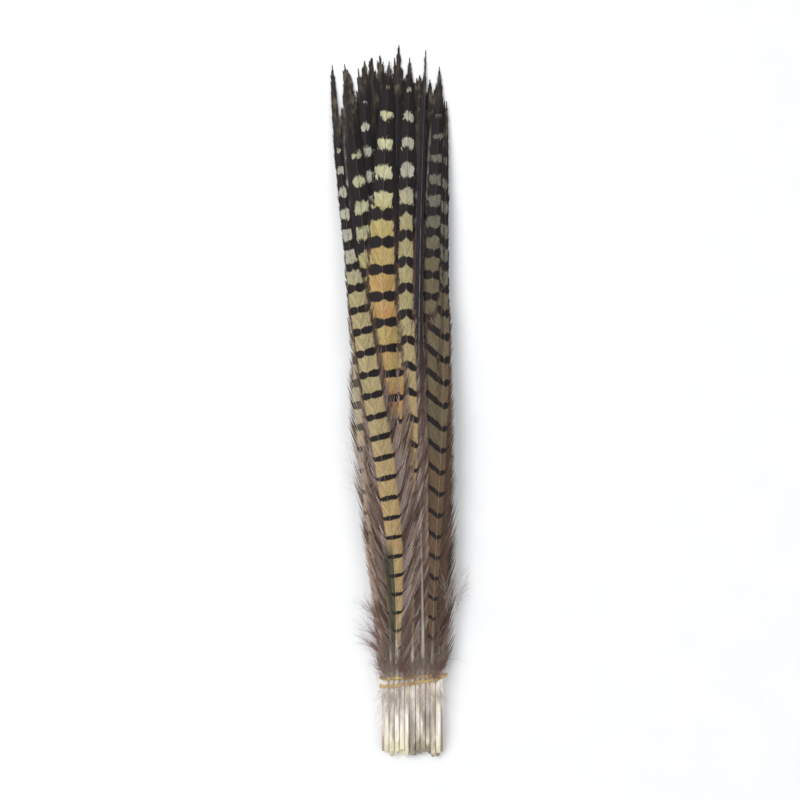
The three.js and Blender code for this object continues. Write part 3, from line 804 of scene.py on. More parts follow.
def bar_pattern_group():
    """Where the dark bars, their thin tails, the fringe and the dark tip are on a vane."""
    name = "bar_pattern"
    if name in bpy.data.node_groups:
        return bpy.data.node_groups[name]
    tree, g, given, result = new_group(
        name,
        {"Cycle": 0.0, "Rim": 0.0, "From Tip": 0.0, "Chance": 0.5, "Raggedness": 0.5, "Bar Width": 1.0},
        ["Bar", "Tail", "Fringe", "Tip"],
    )
    cycle, rim, from_tip, chance, ragged, bar_width = (given.outputs[k] for k in range(6))
    blotch = g.grain((330, 330, 330), 3.0)
    jitter = g.math("MULTIPLY_ADD", chance, 0.1, -0.05)
    jitter = g.math("ADD", g.math("MULTIPLY_ADD", blotch, 0.3, -0.15), jitter)
    near_tip = g.rise(from_tip, 75, 115, 1.0, 0.0)
    cycle = g.math("MULTIPLY_ADD", jitter, g.blend(near_tip, ragged, 1.2), cycle)
    # 0 in the middle of a dark bar, 1 in the middle of a pale one.
    wave = g.times(g.math("PINGPONG", cycle, 0.5), 2.0)
    dark_share = g.curve(
        from_tip,
        [(0, 1.0), (24, 1.0), (31, 0.8), (42, 0.66), (56, 0.56), (72, 0.49), (92, 0.43), (112, 0.39),
         (150, 0.36), (190, 0.31), (232, 0.26), (300, 0.2)],
    )
    dark_share = g.times(dark_share, bar_width)
    # Each half of a bar is a lens between the shaft and the rim of the firm web. Low on the vane it is widest
    # at the shaft, and high up it is straight.
    off_middle = g.math("ABSOLUTE", g.math("SUBTRACT", rim, 0.58))
    lens = g.math("SUBTRACT", 1.12, g.times(g.math("POWER", off_middle, 2.0), 1.45))
    wedge = g.math("SUBTRACT", 1.05, g.times(g.math("POWER", rim, 2.0), 0.4))
    low = g.rise(from_tip, 150, 205)
    high = g.rise(from_tip, 60, 110, 1.0, 0.0)
    shape = g.blend(high, g.blend(low, lens, wedge), 1.05)
    share = g.times(dark_share, shape)
    # The spots near the tip are two lobes with round corners.
    lobes = g.math("ADD", g.rise(rim, 0.35, 1.0, 0.0, 0.2), g.rise(rim, 0.0, 0.22, 0.1, 0.0))
    share = g.math("MULTIPLY_ADD", lobes, g.rise(from_tip, 52, 92, 1.0, 0.0), share)
    bar = g.rise(g.math("SUBTRACT", share, wave), -0.06, 0.06)
    fringe = g.rise(g.math("MULTIPLY_ADD", blotch, 0.3, rim), 1.0, 1.28)
    inside = g.opposite(g.rise(rim, 0.95, 1.15))
    bar = g.times(bar, g.math("MAXIMUM", inside, g.times(high, 0.8)))
    # Near the tip the pale spots stop short of the edge.
    limit = g.curve(from_tip, [(0, 0.4), (28, 0.5), (42, 0.75), (60, 0.9), (95, 1.0), (130, 1.0)])
    nibbled = g.math("MULTIPLY_ADD", blotch, 1.1, g.math("SUBTRACT", rim, 0.55))
    margin = g.rise(g.math("SUBTRACT", nibbled, limit), 0.0, 0.14)
    bar = g.math("MAXIMUM", bar, g.times(margin, near_tip))
    tail_share = g.times(dark_share, g.math("SUBTRACT", 1.35, g.times(rim, 0.65)))
    tail = g.rise(g.math("SUBTRACT", tail_share, wave), -0.05, 0.1)
    tail = g.times(tail, g.rise(rim, 0.9, 1.1))
    tip = g.rise(from_tip, 16, 26, 1.0, 0.0)
    g.fill(result, {"Bar": bar, "Tail": tail, "Fringe": fringe, "Tip": tip})
    return tree


def streak_group():
    """Fine lines along the barbs and a slow change of tone, as used on vanes and down."""
    name = "fine_streaks"
    if name in bpy.data.node_groups:
        return bpy.data.node_groups[name]
    tree, g, given, result = new_group(name, {"Chance": 0.5, "Contrast": 0.3}, ["Shade", "Drift", "Height"])
    chance, contrast = given.outputs[0], given.outputs[1]
    fine = g.grain((1500, 700, 700), 3.0)
    slow = g.grain((60, 25, 60), 2.0)
    both = g.math("ADD", g.math("SUBTRACT", chance, 0.5), g.math("MULTIPLY_ADD", fine, 1.6, -0.8))
    shade = g.math("MULTIPLY_ADD", both, contrast, 1.0)
    g.fill(result, {"Shade": shade, "Drift": g.rise(slow, 0.3, 0.7), "Height": fine})
    return tree


def new_material(name):
    """An empty material with its output, its Principled BSDF and a Graph."""
    material = bpy.data.materials.new(name)
    material.use_nodes = True
    tree = material.node_tree
    tree.nodes.clear()
    graph = Graph(tree)
    surface = graph.add("ShaderNodeBsdfPrincipled")
    graph.add("ShaderNodeOutputMaterial", {"Surface": surface.outputs[0]})
    return material, graph, surface


def scaled(graph, colour, factor):
    """A colour made lighter or darker by a value."""
    grey = graph.add("ShaderNodeCombineColor", {"Red": factor, "Green": factor, "Blue": factor}).outputs[0]
    return graph.mix(1.0, colour, grey, "MULTIPLY")


def vane_material(slot, tone, colours):
    """Barbs of one tone: pale and dark bars, a hairy fringe of another colour, and a dark tip."""
    material, g, surface = new_material(f"{slot}_barbs")
    chance, rim, tint = g.attribute("chance"), g.attribute("rim"), g.attribute("feather_tint")
    cycle, from_tip = g.attribute("bar_cycle"), g.attribute("from_tip")
    pattern = g.add("ShaderNodeGroup", {
        "Cycle": cycle, "Rim": rim, "From Tip": from_tip, "Chance": chance, "Raggedness": 0.4,
        "Bar Width": g.attribute("bar_width"),
    }, node_tree=bar_pattern_group())
    streaks = g.add("ShaderNodeGroup", {"Chance": chance, "Contrast": 0.5}, node_tree=streak_group())
    shade, drift, fine = (streaks.outputs[key] for key in ("Shade", "Drift", "Height"))

    between = g.curve(
        from_tip,
        [(0, tone.spot), (78, tone.spot), (104, tone.upper), (150, tone.upper), (215, tone.lower),
         (300, tone.lower)],
    )
    # One cell between bars is warmer than the next.
    place = g.math("MULTIPLY_ADD", tint, 40.0, g.times(cycle, 0.8))
    cell = g.rise(g.noise(g.add("ShaderNodeCombineXYZ", {"X": place}).outputs[0], 1.0, 1.0), 0.4, 0.6)
    warmth = g.times(g.math("MULTIPLY_ADD", cell, 0.6, g.times(drift, 0.4)), tint)
    warm = g.mix(g.times(warmth, 0.72), between, tone.warm)
    firm = g.mix(g.rise(from_tip, 90, 150), between, warm)
    hair = g.curve(
        from_tip,
        [(0, colours.tip), (90, colours.tip), (135, colours.fringe_upper), (185, tone.fringe),
         (300, tone.fringe)],
    )
    red = g.times(g.rise(chance, 0.5, 1.0), g.opposite(g.times(drift, 0.6)))
    hair = g.mix(g.times(red, 0.5), hair, colours.fringe_red)
    dim = g.times(g.rise(g.attribute("tuft"), 0.3, 0.9), 0.9)
    hair = g.mix(dim, hair, colours.fringe_dark)
    base = g.mix(pattern.outputs["Fringe"], firm, hair)
    # Painted shade on the left web near the band.
    base = g.mix(g.times(g.attribute("gloom"), 0.9), base, colours.gloom)
    strength = g.attribute("bar_strength")
    tail = g.times(g.times(pattern.outputs["Tail"], 0.85), strength)
    base = g.mix(tail, base, colours.tail)
    bar = g.times(pattern.outputs["Bar"], g.math("MAXIMUM", strength, pattern.outputs["Tip"]))
    base = g.mix(bar, base, colours.bar)
    specks = g.rise(g.grain((380, 170, 380), 4.0), 0.46, 0.68, 0.0, 0.6)
    tips = g.mix(specks, colours.tip, colours.tip_pale)
    base = g.mix(pattern.outputs["Tip"], base, tips)
    # Loose barbs are darker where they leave the firm web, as painted shade near their roots, and pale at
    # their ends.
    # The feather's light then scales the colour, partly as painted shade on the lower and shaded feathers.
    ends = g.blend(pattern.outputs["Fringe"], 1.0, g.rise(rim, 0.95, 1.9, 0.72, 1.24))
    shade = g.times(g.times(shade, ends), g.attribute("feather_light"))
    base = scaled(g, base, shade)
    # The underside is greyer.
    behind = g.add("ShaderNodeNewGeometry").outputs["Backfacing"]
    base = g.mix(g.times(behind, 0.4), base, colours.underside)
    rough = g.math("MULTIPLY_ADD", pattern.outputs["Bar"], -0.12, 0.68)
    g.fill(surface, {
        "Base Color": base,
        "Roughness": g.math("MULTIPLY_ADD", fine, 0.1, rough),
        "Normal": g.bump(fine, 0.25, 0.0001),
        "Sheen Weight": 0.03,
        "Sheen Roughness": 0.4,
        "Specular IOR Level": 0.2,
    })
    return material


def quill_material(colours):
    """Horn: clear ivory with long streaks, grey or brown on some, darker along the vane."""
    material, g, surface = new_material("quill_horn")
    chance = g.attribute("chance")
    from_end, from_tip = g.attribute("from_end"), g.attribute("from_tip")
    long_lines = g.grain((900, 22, 900), 4.0)
    patches = g.grain((160, 45, 160), 3.0)
    ivory = g.mix(g.rise(long_lines, 0.35, 0.7), colours.quill, colours.quill_pale)
    yellow = g.rise(g.math("MULTIPLY_ADD", patches, 14.0, from_end), 8, 26, 1.0, 0.0)
    ivory = g.mix(g.times(yellow, 0.75), ivory, colours.quill_end)
    lowered = g.math("ADD", g.math("MULTIPLY_ADD", from_end, -0.007, 0.12), patches)
    dark = g.times(g.rise(chance, 0.55, 0.85), g.rise(lowered, 0.36, 0.6))
    lower = g.times(dark, g.rise(from_end, 26, 44, 1.0, 0.35))
    ivory = g.mix(g.times(lower, 0.8), ivory, colours.quill_dark)
    ivory = g.mix(g.rise(from_end, 46, 80, 0.0, 0.9), ivory, colours.shaft_low)
    shaft = g.mix(g.attribute("shaft_light"), colours.shaft_dark, colours.shaft)
    shaft = g.mix(g.rise(from_tip, 50, 120, 1.0, 0.0), shaft, colours.shaft_dark)
    # The bars run across the shaft, but not near the tip.
    pattern = g.add("ShaderNodeGroup", {
        "Cycle": g.attribute("bar_cycle"), "From Tip": from_tip, "Raggedness": 0.2,
        "Bar Width": g.attribute("bar_width"),
    }, node_tree=bar_pattern_group())
    crossed = g.times(g.times(pattern.outputs["Bar"], g.rise(from_tip, 50, 90)), 0.85)
    shaft = g.mix(crossed, shaft, colours.bar)
    above = g.math("SUBTRACT", from_end, g.attribute("pale_to"))
    base = g.mix(g.rise(above, -14, 14), ivory, shaft)
    g.fill(surface, {
        "Base Color": scaled(g, base, g.rise(long_lines, 0.2, 0.8, 0.86, 1.1)),
        "Roughness": g.rise(patches, 0.3, 0.7, 0.32, 0.48),
        "Normal": g.bump(long_lines, 0.3, 0.0001),
        "Coat Weight": 0.15,
        "Subsurface Weight": 0.12,
        "Subsurface Radius": (0.0015, 0.001, 0.0006),
    })
    return material


def down_material(colours):
    """Loose down and broken barbs, from whitish to reddish brown."""
    material, g, surface = new_material("loose_down")
    chance, tone = g.attribute("chance"), g.attribute("down_tone")
    streaks = g.add("ShaderNodeGroup", {"Chance": chance, "Contrast": 0.3}, node_tree=streak_group())
    pale = g.mix(chance, colours.down_white, colours.down_lilac)
    dark = g.mix(g.rise(tone, 0.78, 0.95), colours.down_brown, colours.fringe_red)
    base = g.mix(tone, pale, dark)
    g.fill(surface, {
        "Base Color": scaled(g, base, streaks.outputs["Shade"]),
        "Roughness": g.math("MULTIPLY_ADD", streaks.outputs["Height"], 0.2, 0.65),
        "Sheen Weight": 0.2,
    })
    return material


def rubber_material(colours):
    """Old rubber: ochre yellow, browner in patches and paler where it is worn, with fine lines along it."""
    material, g, surface = new_material("band_rubber")
    along = g.attribute("band_along")
    patches = g.grain((120, 120, 120), 4.0)
    lines = g.grain((120, 2600, 300), 3.0)
    base = g.mix(g.rise(patches, 0.42, 0.72), colours.rubber, colours.rubber_brown)
    worn = g.rise(g.noise(g.add("ShaderNodeCombineXYZ", {"X": along}).outputs[0], 0.35, 2.0), 0.5, 0.75)
    base = g.mix(g.times(worn, 0.5), base, colours.rubber_pale)
    g.fill(surface, {
        "Base Color": scaled(g, base, g.rise(lines, 0.25, 0.75, 0.85, 1.1)),
        "Roughness": g.rise(patches, 0.3, 0.7, 0.42, 0.6),
        "Normal": g.bump(lines, 0.45, 0.0002),
        "Subsurface Weight": 0.1,
        "Subsurface Radius": (0.002, 0.001, 0.0004),
    })
    return material


# ---- Settings ----


def length(label, text, default, low=0.0, high=1.0):
    """A property in metres."""
    return FloatProperty(
        name=label, description=text, default=default, min=low, max=high, precision=5, unit="LENGTH"
    )


def colour(label, text, red, green, blue):
    """A colour property, from screen values."""
    return FloatVectorProperty(
        name=label, description=text, default=linear(red, green, blue), min=0.0, max=1.0, subtype="COLOR"
    )


def factor(label, text, default, low=0.0, high=1.0):
    """A property without a unit."""
    return FloatProperty(name=label, description=text, default=default, min=low, max=high, subtype="FACTOR")


class FeatherSettings(bpy.types.PropertyGroup):
    """Sizes of the barbs and quills."""

    barb_spacing: length("Barb spacing", "From one barb's root to the next one's", 0.00048, 0.0003, 0.005)
    vane_start: length("Vane start", "Where the lowest barbs are, from the quill ends", 0.0455, 0.03, 0.1)
    fringe_width: length("Fringe width", "How far loose barbs stand out from the firm web", 0.008, 0.0, 0.02)
    hair_width: length("Hair width", "Width of a barb at its loose end", 0.00017, 0.00005, 0.001)
    layer_gap: length("Layer gap", "Between one vane and what it lies on", 0.00012, 0.0, 0.001)
    overlap: factor("Overlap", "A barb's width against the distance between barbs", 1.5, 0.5, 3.0)
    quill_fullness: factor("Quill fullness", "A quill's width against the CAD quill's", 1.28, 0.8, 1.3)
    quill_width: length("Quill width", "Least width of a bare quill", 0.0026, 0.0, 0.003)
    shaft_narrowness: factor("Shaft narrowness", "The shaft's width against its height", 0.38, 0.3, 1.0)
    droop: factor("Droop", "How far the firm web falls for each unit out", 0.14, 0.0, 1.0)
    roll: factor("Roll", "How far each barb is rolled over the one before it", 0.16, 0.0, 1.0)


class ColourSettings(bpy.types.PropertyGroup):
    """Colours that all the feathers share, and those of the quills, the down and the band."""

    bar: colour("Bar", "Dark bars", 30, 23, 24)
    tail: colour("Bar tail", "The thin ends of bars on the fringe", 58, 40, 34)
    tip: colour("Tip", "The dark tips", 48, 41, 36)
    tip_pale: colour("Pale tip", "Olive brown specks on the tips", 124, 114, 98)
    fringe_upper: colour("Upper fringe", "Loose barbs higher up", 96, 78, 68)
    fringe_red: colour("Reddish fringe", "Reddish brown barbs among them", 112, 74, 66)
    fringe_dark: colour("Dark fringe", "Brown barbs among them", 78, 60, 50)
    # Painted shade: the dark olive of webs turned away from the light.
    gloom: colour("Dark olive", "Webs turned away from the light near the band", 62, 63, 49)
    underside: colour("Underside", "The grey cast of a vane's underside", 132, 124, 116)
    quill: colour("Quill", "Bare quills", 236, 224, 206)
    quill_pale: colour("Pale quill", "Clear streaks in the quills", 254, 252, 246)
    quill_end: colour("Quill end", "Yellowish ends of the quills", 240, 230, 190)
    quill_dark: colour("Dark quill", "Grey and brown quills", 128, 110, 96)
    shaft_low: colour("Low shaft", "The pale shaft between the loose barbs above the band", 130, 114, 105)
    shaft: colour("Shaft", "The shaft between light webs", 168, 146, 106)
    shaft_dark: colour("Dark shaft", "The shaft between dark webs", 62, 52, 44)
    down_white: colour("White down", "The palest loose down", 216, 204, 196)
    down_lilac: colour("Lilac down", "The darker loose down", 172, 152, 143)
    down_brown: colour("Brown down", "Short brown hair against the band", 90, 75, 57)
    rubber: colour("Rubber", "The band", 198, 170, 108)
    rubber_brown: colour("Brown rubber", "Darker patches on the band", 150, 106, 62)
    rubber_pale: colour("Worn rubber", "Stretched and worn places", 226, 208, 160)


def tone_settings(name, spot, upper, lower, warm, fringe):
    """A PropertyGroup with the ground colours of one kind of feather."""
    colours = {
        "spot": colour("Spot", "Pale spots near the tip", *spot),
        "upper": colour("Upper", "Between the bars, higher up", *upper),
        "lower": colour("Lower", "Between the bars, lower down", *lower),
        "warm": colour("Warm", "The orange cast on some webs", *warm),
        "fringe": colour("Fringe", "Loose barbs low on the vane", *fringe),
    }
    return type(f"{name}ToneSettings", (bpy.types.PropertyGroup,), {"__annotations__": colours})


TONES = {
    "golden": tone_settings(
        "Golden", (190, 186, 150), (176, 160, 104), (164, 140, 88), (180, 124, 80), (134, 115, 103)
    ),
    # The olive tone is these feathers' olive grey, darkened with painted shade for the shaded right side of
    # the bundle.
    "olive": tone_settings(
        "Olive", (106, 106, 94), (106, 98, 76), (88, 72, 56), (104, 78, 58), (84, 68, 55)
    ),
    "cream": tone_settings(
        "Cream", (172, 168, 150), (166, 154, 114), (170, 146, 104), (178, 132, 92), (154, 136, 129)
    ),
    # The dusky tone's near-black upper web is partly a feather's own dark colour and partly painted shade in
    # the recessed strips and gaps between feathers.
    "dusky": tone_settings(
        "Dusky", (30, 30, 40), (34, 33, 42), (100, 84, 74), (104, 80, 70), (136, 117, 105)
    ),
    "pale": tone_settings(
        "Pale", (168, 168, 154), (166, 158, 130), (164, 148, 128), (170, 138, 112), (156, 138, 126)
    ),
}


class BandSettings(bpy.types.PropertyGroup):
    """Sizes of the rubber band."""

    place: length("Place", "Middle of the band, from the quill ends", 0.0422, 0.02, 0.1)
    width: length("Width", "Width of one turn", 0.0018, 0.0005, 0.01)
    thickness: length("Thickness", "Thickness of the band", 0.0011, 0.0003, 0.005)
    gap: length("Gap", "Between the band and the quills", 0.0004, 0.0, 0.002)
    splay: length("Splay", "How far each turn strays from the middle at the left", 0.0023, 0.0, 0.01)
    splay_right: length("Right splay", "How far each turn strays at the right", 0.0011, 0.0, 0.01)
    tilt: factor("Tilt", "How far the band climbs for each unit to the right", 0.11, -0.5, 0.5)


class DownSettings(bpy.types.PropertyGroup):
    """Amounts of loose down."""

    strands: IntProperty(name="Strands", description="Loose strands in all", default=2600, min=10, max=5000)
    length: length("Length", "Length of a strand", 0.0105, 0.002, 0.05)
    width: length("Width", "Width of a strand", 0.00011, 0.00005, 0.001)
    least_height: length("Least height", "Of the bundle where a strand is rooted", 0.001, 0.0, 0.01)


class StageSettings(bpy.types.PropertyGroup):
    """Camera, light and floor."""

    lens: FloatProperty(
        name="Lens", description="Focal length", default=95.0, min=20.0, max=300.0, unit="CAMERA"
    )
    height_share: factor("Fill", "Share of the picture's height that the bundle takes", 0.9)
    light: FloatProperty(
        name="Light", description="Strength of the main light", default=12.5, min=0.0, unit="POWER"
    )
    floor: colour("Floor", "The pale floor", 248, 248, 248)


# ---- Operators ----


class BUNDLE_OT_feathers(bpy.types.Operator):
    """Lay the feathers, each over those below it"""

    bl_idname = "bundle.feathers"
    bl_label = "Feathers"

    def execute(self, context):
        scene = context.scene
        quill = quill_material(scene.bundle_colours)
        vanes = {}
        ground = Ground()
        for name in FEATHERS:
            feather = Feather(name)
            slot = SLOTS[name]
            if slot not in vanes:
                tone = getattr(scene, f"bundle_{tone_of(name)}")
                vanes[slot] = vane_material(slot, tone, scene.bundle_colours)
            rows, halves = lay_feather(feather, ground, scene.bundle_feathers)
            mesh = feather_mesh(feather, rows, halves, scene.bundle_feathers)
            add_piece(mesh, f"tail_{name}", [vanes[slot], quill], name)
        return {"FINISHED"}


def quill_outline(distance, along, directions):
    """The rounded outline round all the quills at a place along them, that far off their surface."""
    centres = []
    for name in FEATHERS:
        feather = Feather(name)
        for y in (along - BAND_REACH, along, along + BAND_REACH):
            centres.append([np.interp(y, feather.y, line) for line in (feather.x, feather.z, feather.radius)])
    centres = np.array(centres)
    angles = np.linspace(0, 2 * math.pi, directions, endpoint=False)
    normals = np.stack([np.cos(angles), np.sin(angles)], 1)
    reach = (centres[:, :2] @ normals.T + centres[:, 2:3]).max(0) + distance
    turn = np.gradient(np.concatenate([reach[-1:], reach, reach[:1]]), angles[1])[1:-1]
    sideways = np.stack([-np.sin(angles), np.cos(angles)], 1)
    return normals * reach[:, None] + sideways * turn[:, None], normals


def band_course(settings):
    """How far along the band its sections are, their middles, and their directions away from the quills."""
    along = QUILL_ENDS + settings.place / MM
    outline, normals = quill_outline((settings.gap + settings.thickness / 2) / MM, along, 180)
    steps = np.linalg.norm(np.roll(outline, -1, 0) - outline, axis=1)
    round_at = np.concatenate([[0], np.cumsum(steps)])
    around = round_at[-1]
    s = np.arange(2 * TURN_STEPS) / TURN_STEPS * around
    within = s % around
    closed = np.concatenate([outline, outline[:1]])
    closed_normals = np.concatenate([normals, normals[:1]])
    x, z = (np.interp(within, round_at, closed[:, k]) for k in (0, 1))
    nx, nz = (np.interp(within, round_at, closed_normals[:, k]) for k in (0, 1))
    # The turns cross at the right, where one is lifted over the other.
    off = np.minimum(within, around - within)
    turn = np.where(s < around, 1.0, -1.0)
    on_top = (within < around / 2) == (turn > 0)
    lift = np.where(on_top, CROSSING_LIFT * (1 - smoothstep(3.2, 7.0, off)), 0.0)
    apart = smoothstep(0, 7.5, off)
    ripple = 0.12 * np.sin(within * 1.9 + turn) + 0.1 * np.sin(within * 0.63 + 2 * turn)
    to_right = np.clip((x - x.min()) / (x.max() - x.min()), 0, 1)
    splay = (settings.splay + (settings.splay_right - settings.splay) * to_right) / MM
    y = along + settings.tilt * x + turn * splay * apart + ripple
    x, z = x + nx * lift, z + nz * lift
    return s, (x, y, z), (nx, nz)


def band_mesh(course, width, thickness):
    """A rounded rectangle swept along the band's course, and the section that each vertex is on."""
    (x, y, z), (nx, nz) = course
    # A grid is closed both ways: round the band's section, and along the band.
    builder = bmesh.new()
    bmesh.ops.create_grid(builder, x_segments=BAND_SIDES - 1, y_segments=2 * TURN_STEPS - 1, size=1.0)
    for axis in (0, 1):
        rims = [
            edge for end in (-1, 1) for edge in builder.edges
            if edge.is_boundary and all(abs(vert.co[axis] - end) < 1e-5 for vert in edge.verts)
        ]
        bmesh.ops.bridge_loops(builder, edges=rims)
    mesh = mesh_of(builder, "band")
    row, column = grid_places(vertices_of(mesh), BAND_SIDES, 2 * TURN_STEPS)
    turned = 2 * math.pi * (column + 0.5) / BAND_SIDES
    a, b = np.cos(turned), np.sin(turned)
    flat = np.sign(a) * np.abs(a) ** BAND_CORNERS * width / 2
    deep = np.sign(b) * np.abs(b) ** BAND_CORNERS * thickness / 2
    z = np.maximum(z[row] + nz[row] * deep, 0.02)
    place_vertices(mesh, np.stack([x[row] + nx[row] * deep, y[row] + flat, z], 1))
    builder = bmesh.new()
    builder.from_mesh(mesh)
    bmesh.ops.recalc_face_normals(builder, faces=builder.faces)
    builder.to_mesh(mesh)
    builder.free()
    return mesh, row


class BUNDLE_OT_band(bpy.types.Operator):
    """Wind the rubber band twice round the quills"""

    bl_idname = "bundle.band"
    bl_label = "Rubber band"

    def execute(self, context):
        settings = context.scene.bundle_band
        s, *course = band_course(settings)
        mesh, row = band_mesh(course, settings.width / MM, settings.thickness / MM)
        set_attributes(mesh, band_along=s[row])
        add_piece(mesh, "banded_rubber", [rubber_material(context.scene.bundle_colours)], BAND)
        return {"FINISHED"}


def ground_of_pieces():
    """The ground that all the feathers and the band make together."""
    ground = Ground()
    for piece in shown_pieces():
        if "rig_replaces" in piece:
            ground.lay(*(vertices_of(piece.data) / MM).T)
    for name in FEATHERS:
        feather = Feather(name)
        for off in (-1.0, 0.0, 1.0):
            ground.lay(feather.x + off * feather.radius, feather.y, feather.z + feather.radius)
    ground.settle()
    return ground


def down_tufts():
    """The tufts of loose down.

    Each is where it is across and from the quill ends, how much it spreads, its heading in degrees from
    straight up the bundle, its share of the strands, how much longer they are and how reddish.
    """
    middle = quill_outline(0, QUILL_ENDS + 40, 60)[0]
    left, right = middle[:, 0].min(), middle[:, 0].max()
    tufts = [
        (left - 1, 58, 1.0, 50, 0.02, 1.1, 1.0), (left - 1, 64, 1.0, 42, 0.018, 1.1, 1.0),
        (left - 2, 76, 1.0, 36, 0.018, 1.1, 1.0), (left - 1, 70, 1.0, 30, 0.012, 1.0, 1.0),
        (left + 1, 56, 4, 24, 0.04, 0.7, 0.8), (left + 2, 49, 4, 30, 0.06, 0.6, 0.95),
        (left + 2, 36, 3, 150, 0.03, 0.4, 0.1), (right - 2, 36, 3, -150, 0.03, 0.4, 0.1),
        (left + 8, 36, 8, 175, 0.11, 0.65, 0.12), (right - 9, 36, 8, -175, 0.09, 0.6, 0.15),
        (right - 1, 52, 4, -20, 0.04, 0.7, 0.7), (right + 7, 84, 10, -22, 0.035, 1.1, 0.35),
        (left - 9, 146, 5, 24, 0.02, 1.0, 0.1), (left - 11, 158, 5, 24, 0.015, 0.9, 0.1),
        (left + 9, 54, 10, 8, 0.07, 0.9, 0.75), (right - 10, 54, 10, -8, 0.07, 0.9, 0.75),
    ]
    # Short hair stands up all along the band.
    collar = 8
    for k in range(collar):
        across = left + (right - left) * (k + 0.5) / collar
        heading = 25 - 7 * k + 20 * (k % 2)
        tufts.append((across, 46 + 1.5 * (k % 3), 3.5, heading, 0.07, 0.5, 0.68 + 0.1 * (k % 4)))
    return tufts


def down_strands(settings):
    """Each strand: its root, heading, length, how much it curls, how reddish it is and two random numbers."""
    rng = np.random.default_rng(DOWN_SEED)
    strands = []
    for x, y, spread, heading, amount, longer, red in down_tufts():
        scatter = 24 if spread > 2 else 9
        for _ in range(int(settings.strands * amount)):
            strands.append([
                x + rng.normal(0, spread * 0.5),
                y + QUILL_ENDS + rng.normal(0, spread * 0.6),
                math.radians(heading + rng.normal(0, scatter)),
                settings.length / MM * longer * rng.uniform(0.5, 1.4),
                rng.normal(0, 0.4),
                np.clip(red + rng.normal(0, 0.12), 0, 1),
                rng.random(),
                rng.normal(0, 1),
            ])
    return np.array(strands)


class BUNDLE_OT_down(bpy.types.Operator):
    """Scatter loose down and broken barbs about the band and along the edges"""

    bl_idname = "bundle.down"
    bl_label = "Loose down"

    def execute(self, context):
        settings = context.scene.bundle_down
        ground = ground_of_pieces()
        strands = down_strands(settings)
        strands = strands[ground.at(strands[:, 0], strands[:, 1]) > settings.least_height / MM]
        x, y, heading, whole, curl, red, chance, stray = strands.T[:, :, None]
        share = np.linspace(0, 1, DOWN_POINTS)
        heading = heading + curl * share + 0.15 * np.sin(share * 9 + stray * 5)
        step = whole / (DOWN_POINTS - 1)
        x = x + np.cumsum(-np.sin(heading) * step, 1)
        y = y + np.cumsum(np.cos(heading) * step, 1)
        height = ground.at(x, y) + 0.15
        free = np.minimum(height[:, :1] + 0.5, height[:, :1] * (1 - 0.35 * share))
        height = np.maximum(height, free) + np.abs(stray) * share**2 * 0.8
        width = settings.width / MM * (1 - 0.7 * share) * np.ones_like(red)
        lower, upper = ribbon_edges(np.stack([x, y], 2), height, width, 0.3)
        builder = bmesh.new()
        columns, grid_rows = ribbon_sheet(builder, len(strands), DOWN_POINTS, False)
        mesh = mesh_of(builder, "down")
        row, column = grid_places(vertices_of(mesh), columns, grid_rows)
        strand = row // 2
        places = np.where((row % 2 == 0)[:, None], lower[strand, column], upper[strand, column])
        past_low, past_high = np.array(DOWN_PAST_BOX)
        places = np.clip(places, np.array(CAD_LOW) / MM - past_low, np.array(CAD_HIGH) / MM + past_high)
        place_vertices(mesh, places)
        set_attributes(mesh, chance=chance[strand, 0], down_tone=red[strand, 0])
        set_bake_map(mesh, ribbon_map(row, column, len(strands), columns, 1.0))
        add_piece(mesh, "loose_down", [down_material(context.scene.bundle_colours)])
        return {"FINISHED"}


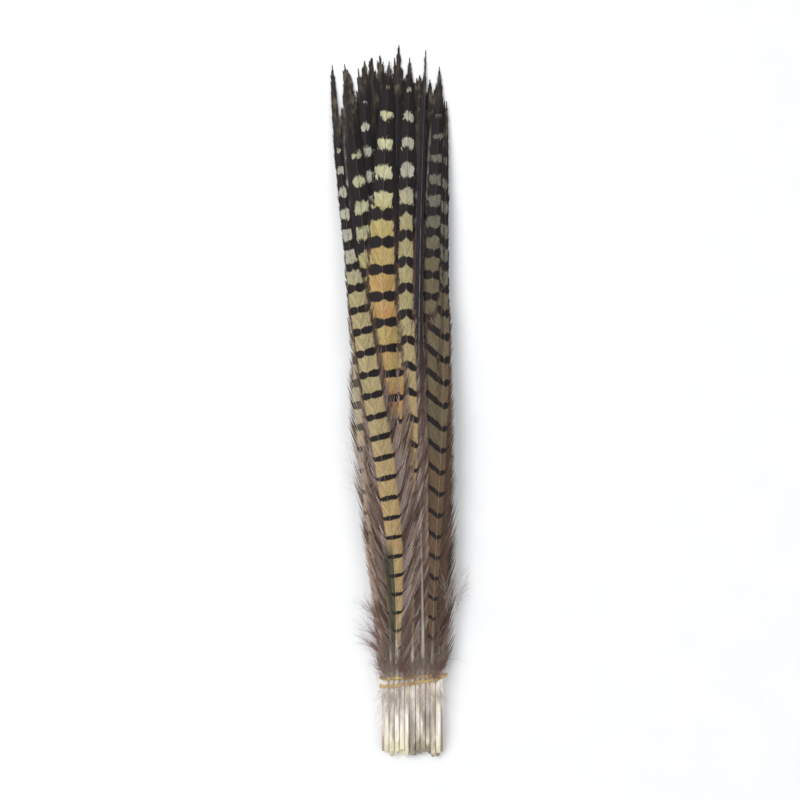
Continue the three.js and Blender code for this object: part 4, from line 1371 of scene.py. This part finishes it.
class BUNDLE_OT_stage(bpy.types.Operator):
    """Set up the floor, the lights and the camera"""

    bl_idname = "bundle.stage"
    bl_label = "Stage"

    def execute(self, context):
        scene = context.scene
        settings = scene.bundle_stage
        builder = bmesh.new()
        bmesh.ops.create_grid(builder, x_segments=1, y_segments=1, size=4.0)
        floor = link_new("floor", mesh_of(builder, "floor"))
        material, g, surface = new_material("pale_floor")
        shade = g.rise(g.grain((40, 40, 40), 4.0), 0.3, 0.7, 0.97, 1.0)
        g.fill(surface, {"Base Color": scaled(g, settings.floor, shade), "Roughness": 0.8})
        floor.data.materials.append(material)
        floor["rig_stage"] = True

        world = bpy.data.worlds.new("soft_room")
        scene.world = world
        world.use_nodes = True
        background = world.node_tree.nodes["Background"]
        background.inputs["Color"].default_value = (0.95, 0.97, 1.0, 1.0)
        background.inputs["Strength"].default_value = 0.55

        lights = [
            ("key", (-0.6, 0.3, 1.25), 0.9, settings.light),
            ("fill", (0.7, -0.5, 1.2), 1.0, settings.light * 0.3),
        ]
        for name, place, size, power in lights:
            data = bpy.data.lights.new(name, "AREA")
            data.shape = "SQUARE"
            data.size = size
            data.energy = power
            lamp = link_new(name, data)
            lamp.location = place
            lamp.rotation_euler = (-Vector(place)).to_track_quat("-Z", "Y").to_euler()

        low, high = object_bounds()
        data = bpy.data.cameras.new("camera")
        data.lens = settings.lens
        data.sensor_width = 36.0
        data.clip_start = 0.05
        data.clip_end = 20.0
        camera = link_new("camera", data)
        seen = (high.y - low.y) / settings.height_share
        distance = seen * data.lens / data.sensor_width
        centre = (low + high) / 2
        camera.location = (centre.x, centre.y, high.z * 0.6 + distance)
        scene.camera = camera
        scene.view_settings.view_transform = "Standard"
        return {"FINISHED"}


class BUNDLE_PT_sidebar(bpy.types.Panel):
    """The bundle's pieces and their settings"""

    bl_idname = "BUNDLE_PT_sidebar"
    bl_label = "Feather bundle"
    bl_space_type = "VIEW_3D"
    bl_region_type = "UI"
    bl_category = "Feathers"

    def draw(self, context):
        layout = self.layout
        for operator, groups in OPERATORS:
            layout.operator(operator.bl_idname)
            for name in groups:
                settings = getattr(context.scene, name)
                for key in settings.bl_rna.properties.keys():
                    if key not in ("name", "rna_type"):
                        layout.prop(settings, key)


OPERATORS = [
    (BUNDLE_OT_feathers, ["bundle_feathers", "bundle_colours", *(f"bundle_{tone}" for tone in TONES)]),
    (BUNDLE_OT_band, ["bundle_band"]),
    (BUNDLE_OT_down, ["bundle_down"]),
    (BUNDLE_OT_stage, ["bundle_stage"]),
]
GROUPS = {
    "bundle_feathers": FeatherSettings,
    "bundle_colours": ColourSettings,
    "bundle_band": BandSettings,
    "bundle_down": DownSettings,
    "bundle_stage": StageSettings,
    **{f"bundle_{tone}": group for tone, group in TONES.items()},
}
CLASSES = [*GROUPS.values(), *(operator for operator, _ in OPERATORS), BUNDLE_PT_sidebar]


def register():
    for item in CLASSES:
        bpy.utils.register_class(item)
    for name, group in GROUPS.items():
        setattr(bpy.types.Scene, name, PointerProperty(type=group))


def unregister():
    for name in GROUPS:
        delattr(bpy.types.Scene, name)
    for item in reversed(CLASSES):
        bpy.utils.unregister_class(item)


def main():
    register()
    bpy.ops.bundle.feathers()
    bpy.ops.bundle.band()
    bpy.ops.bundle.down()
    bpy.ops.bundle.stage()


if __name__ == "__main__":
    main()
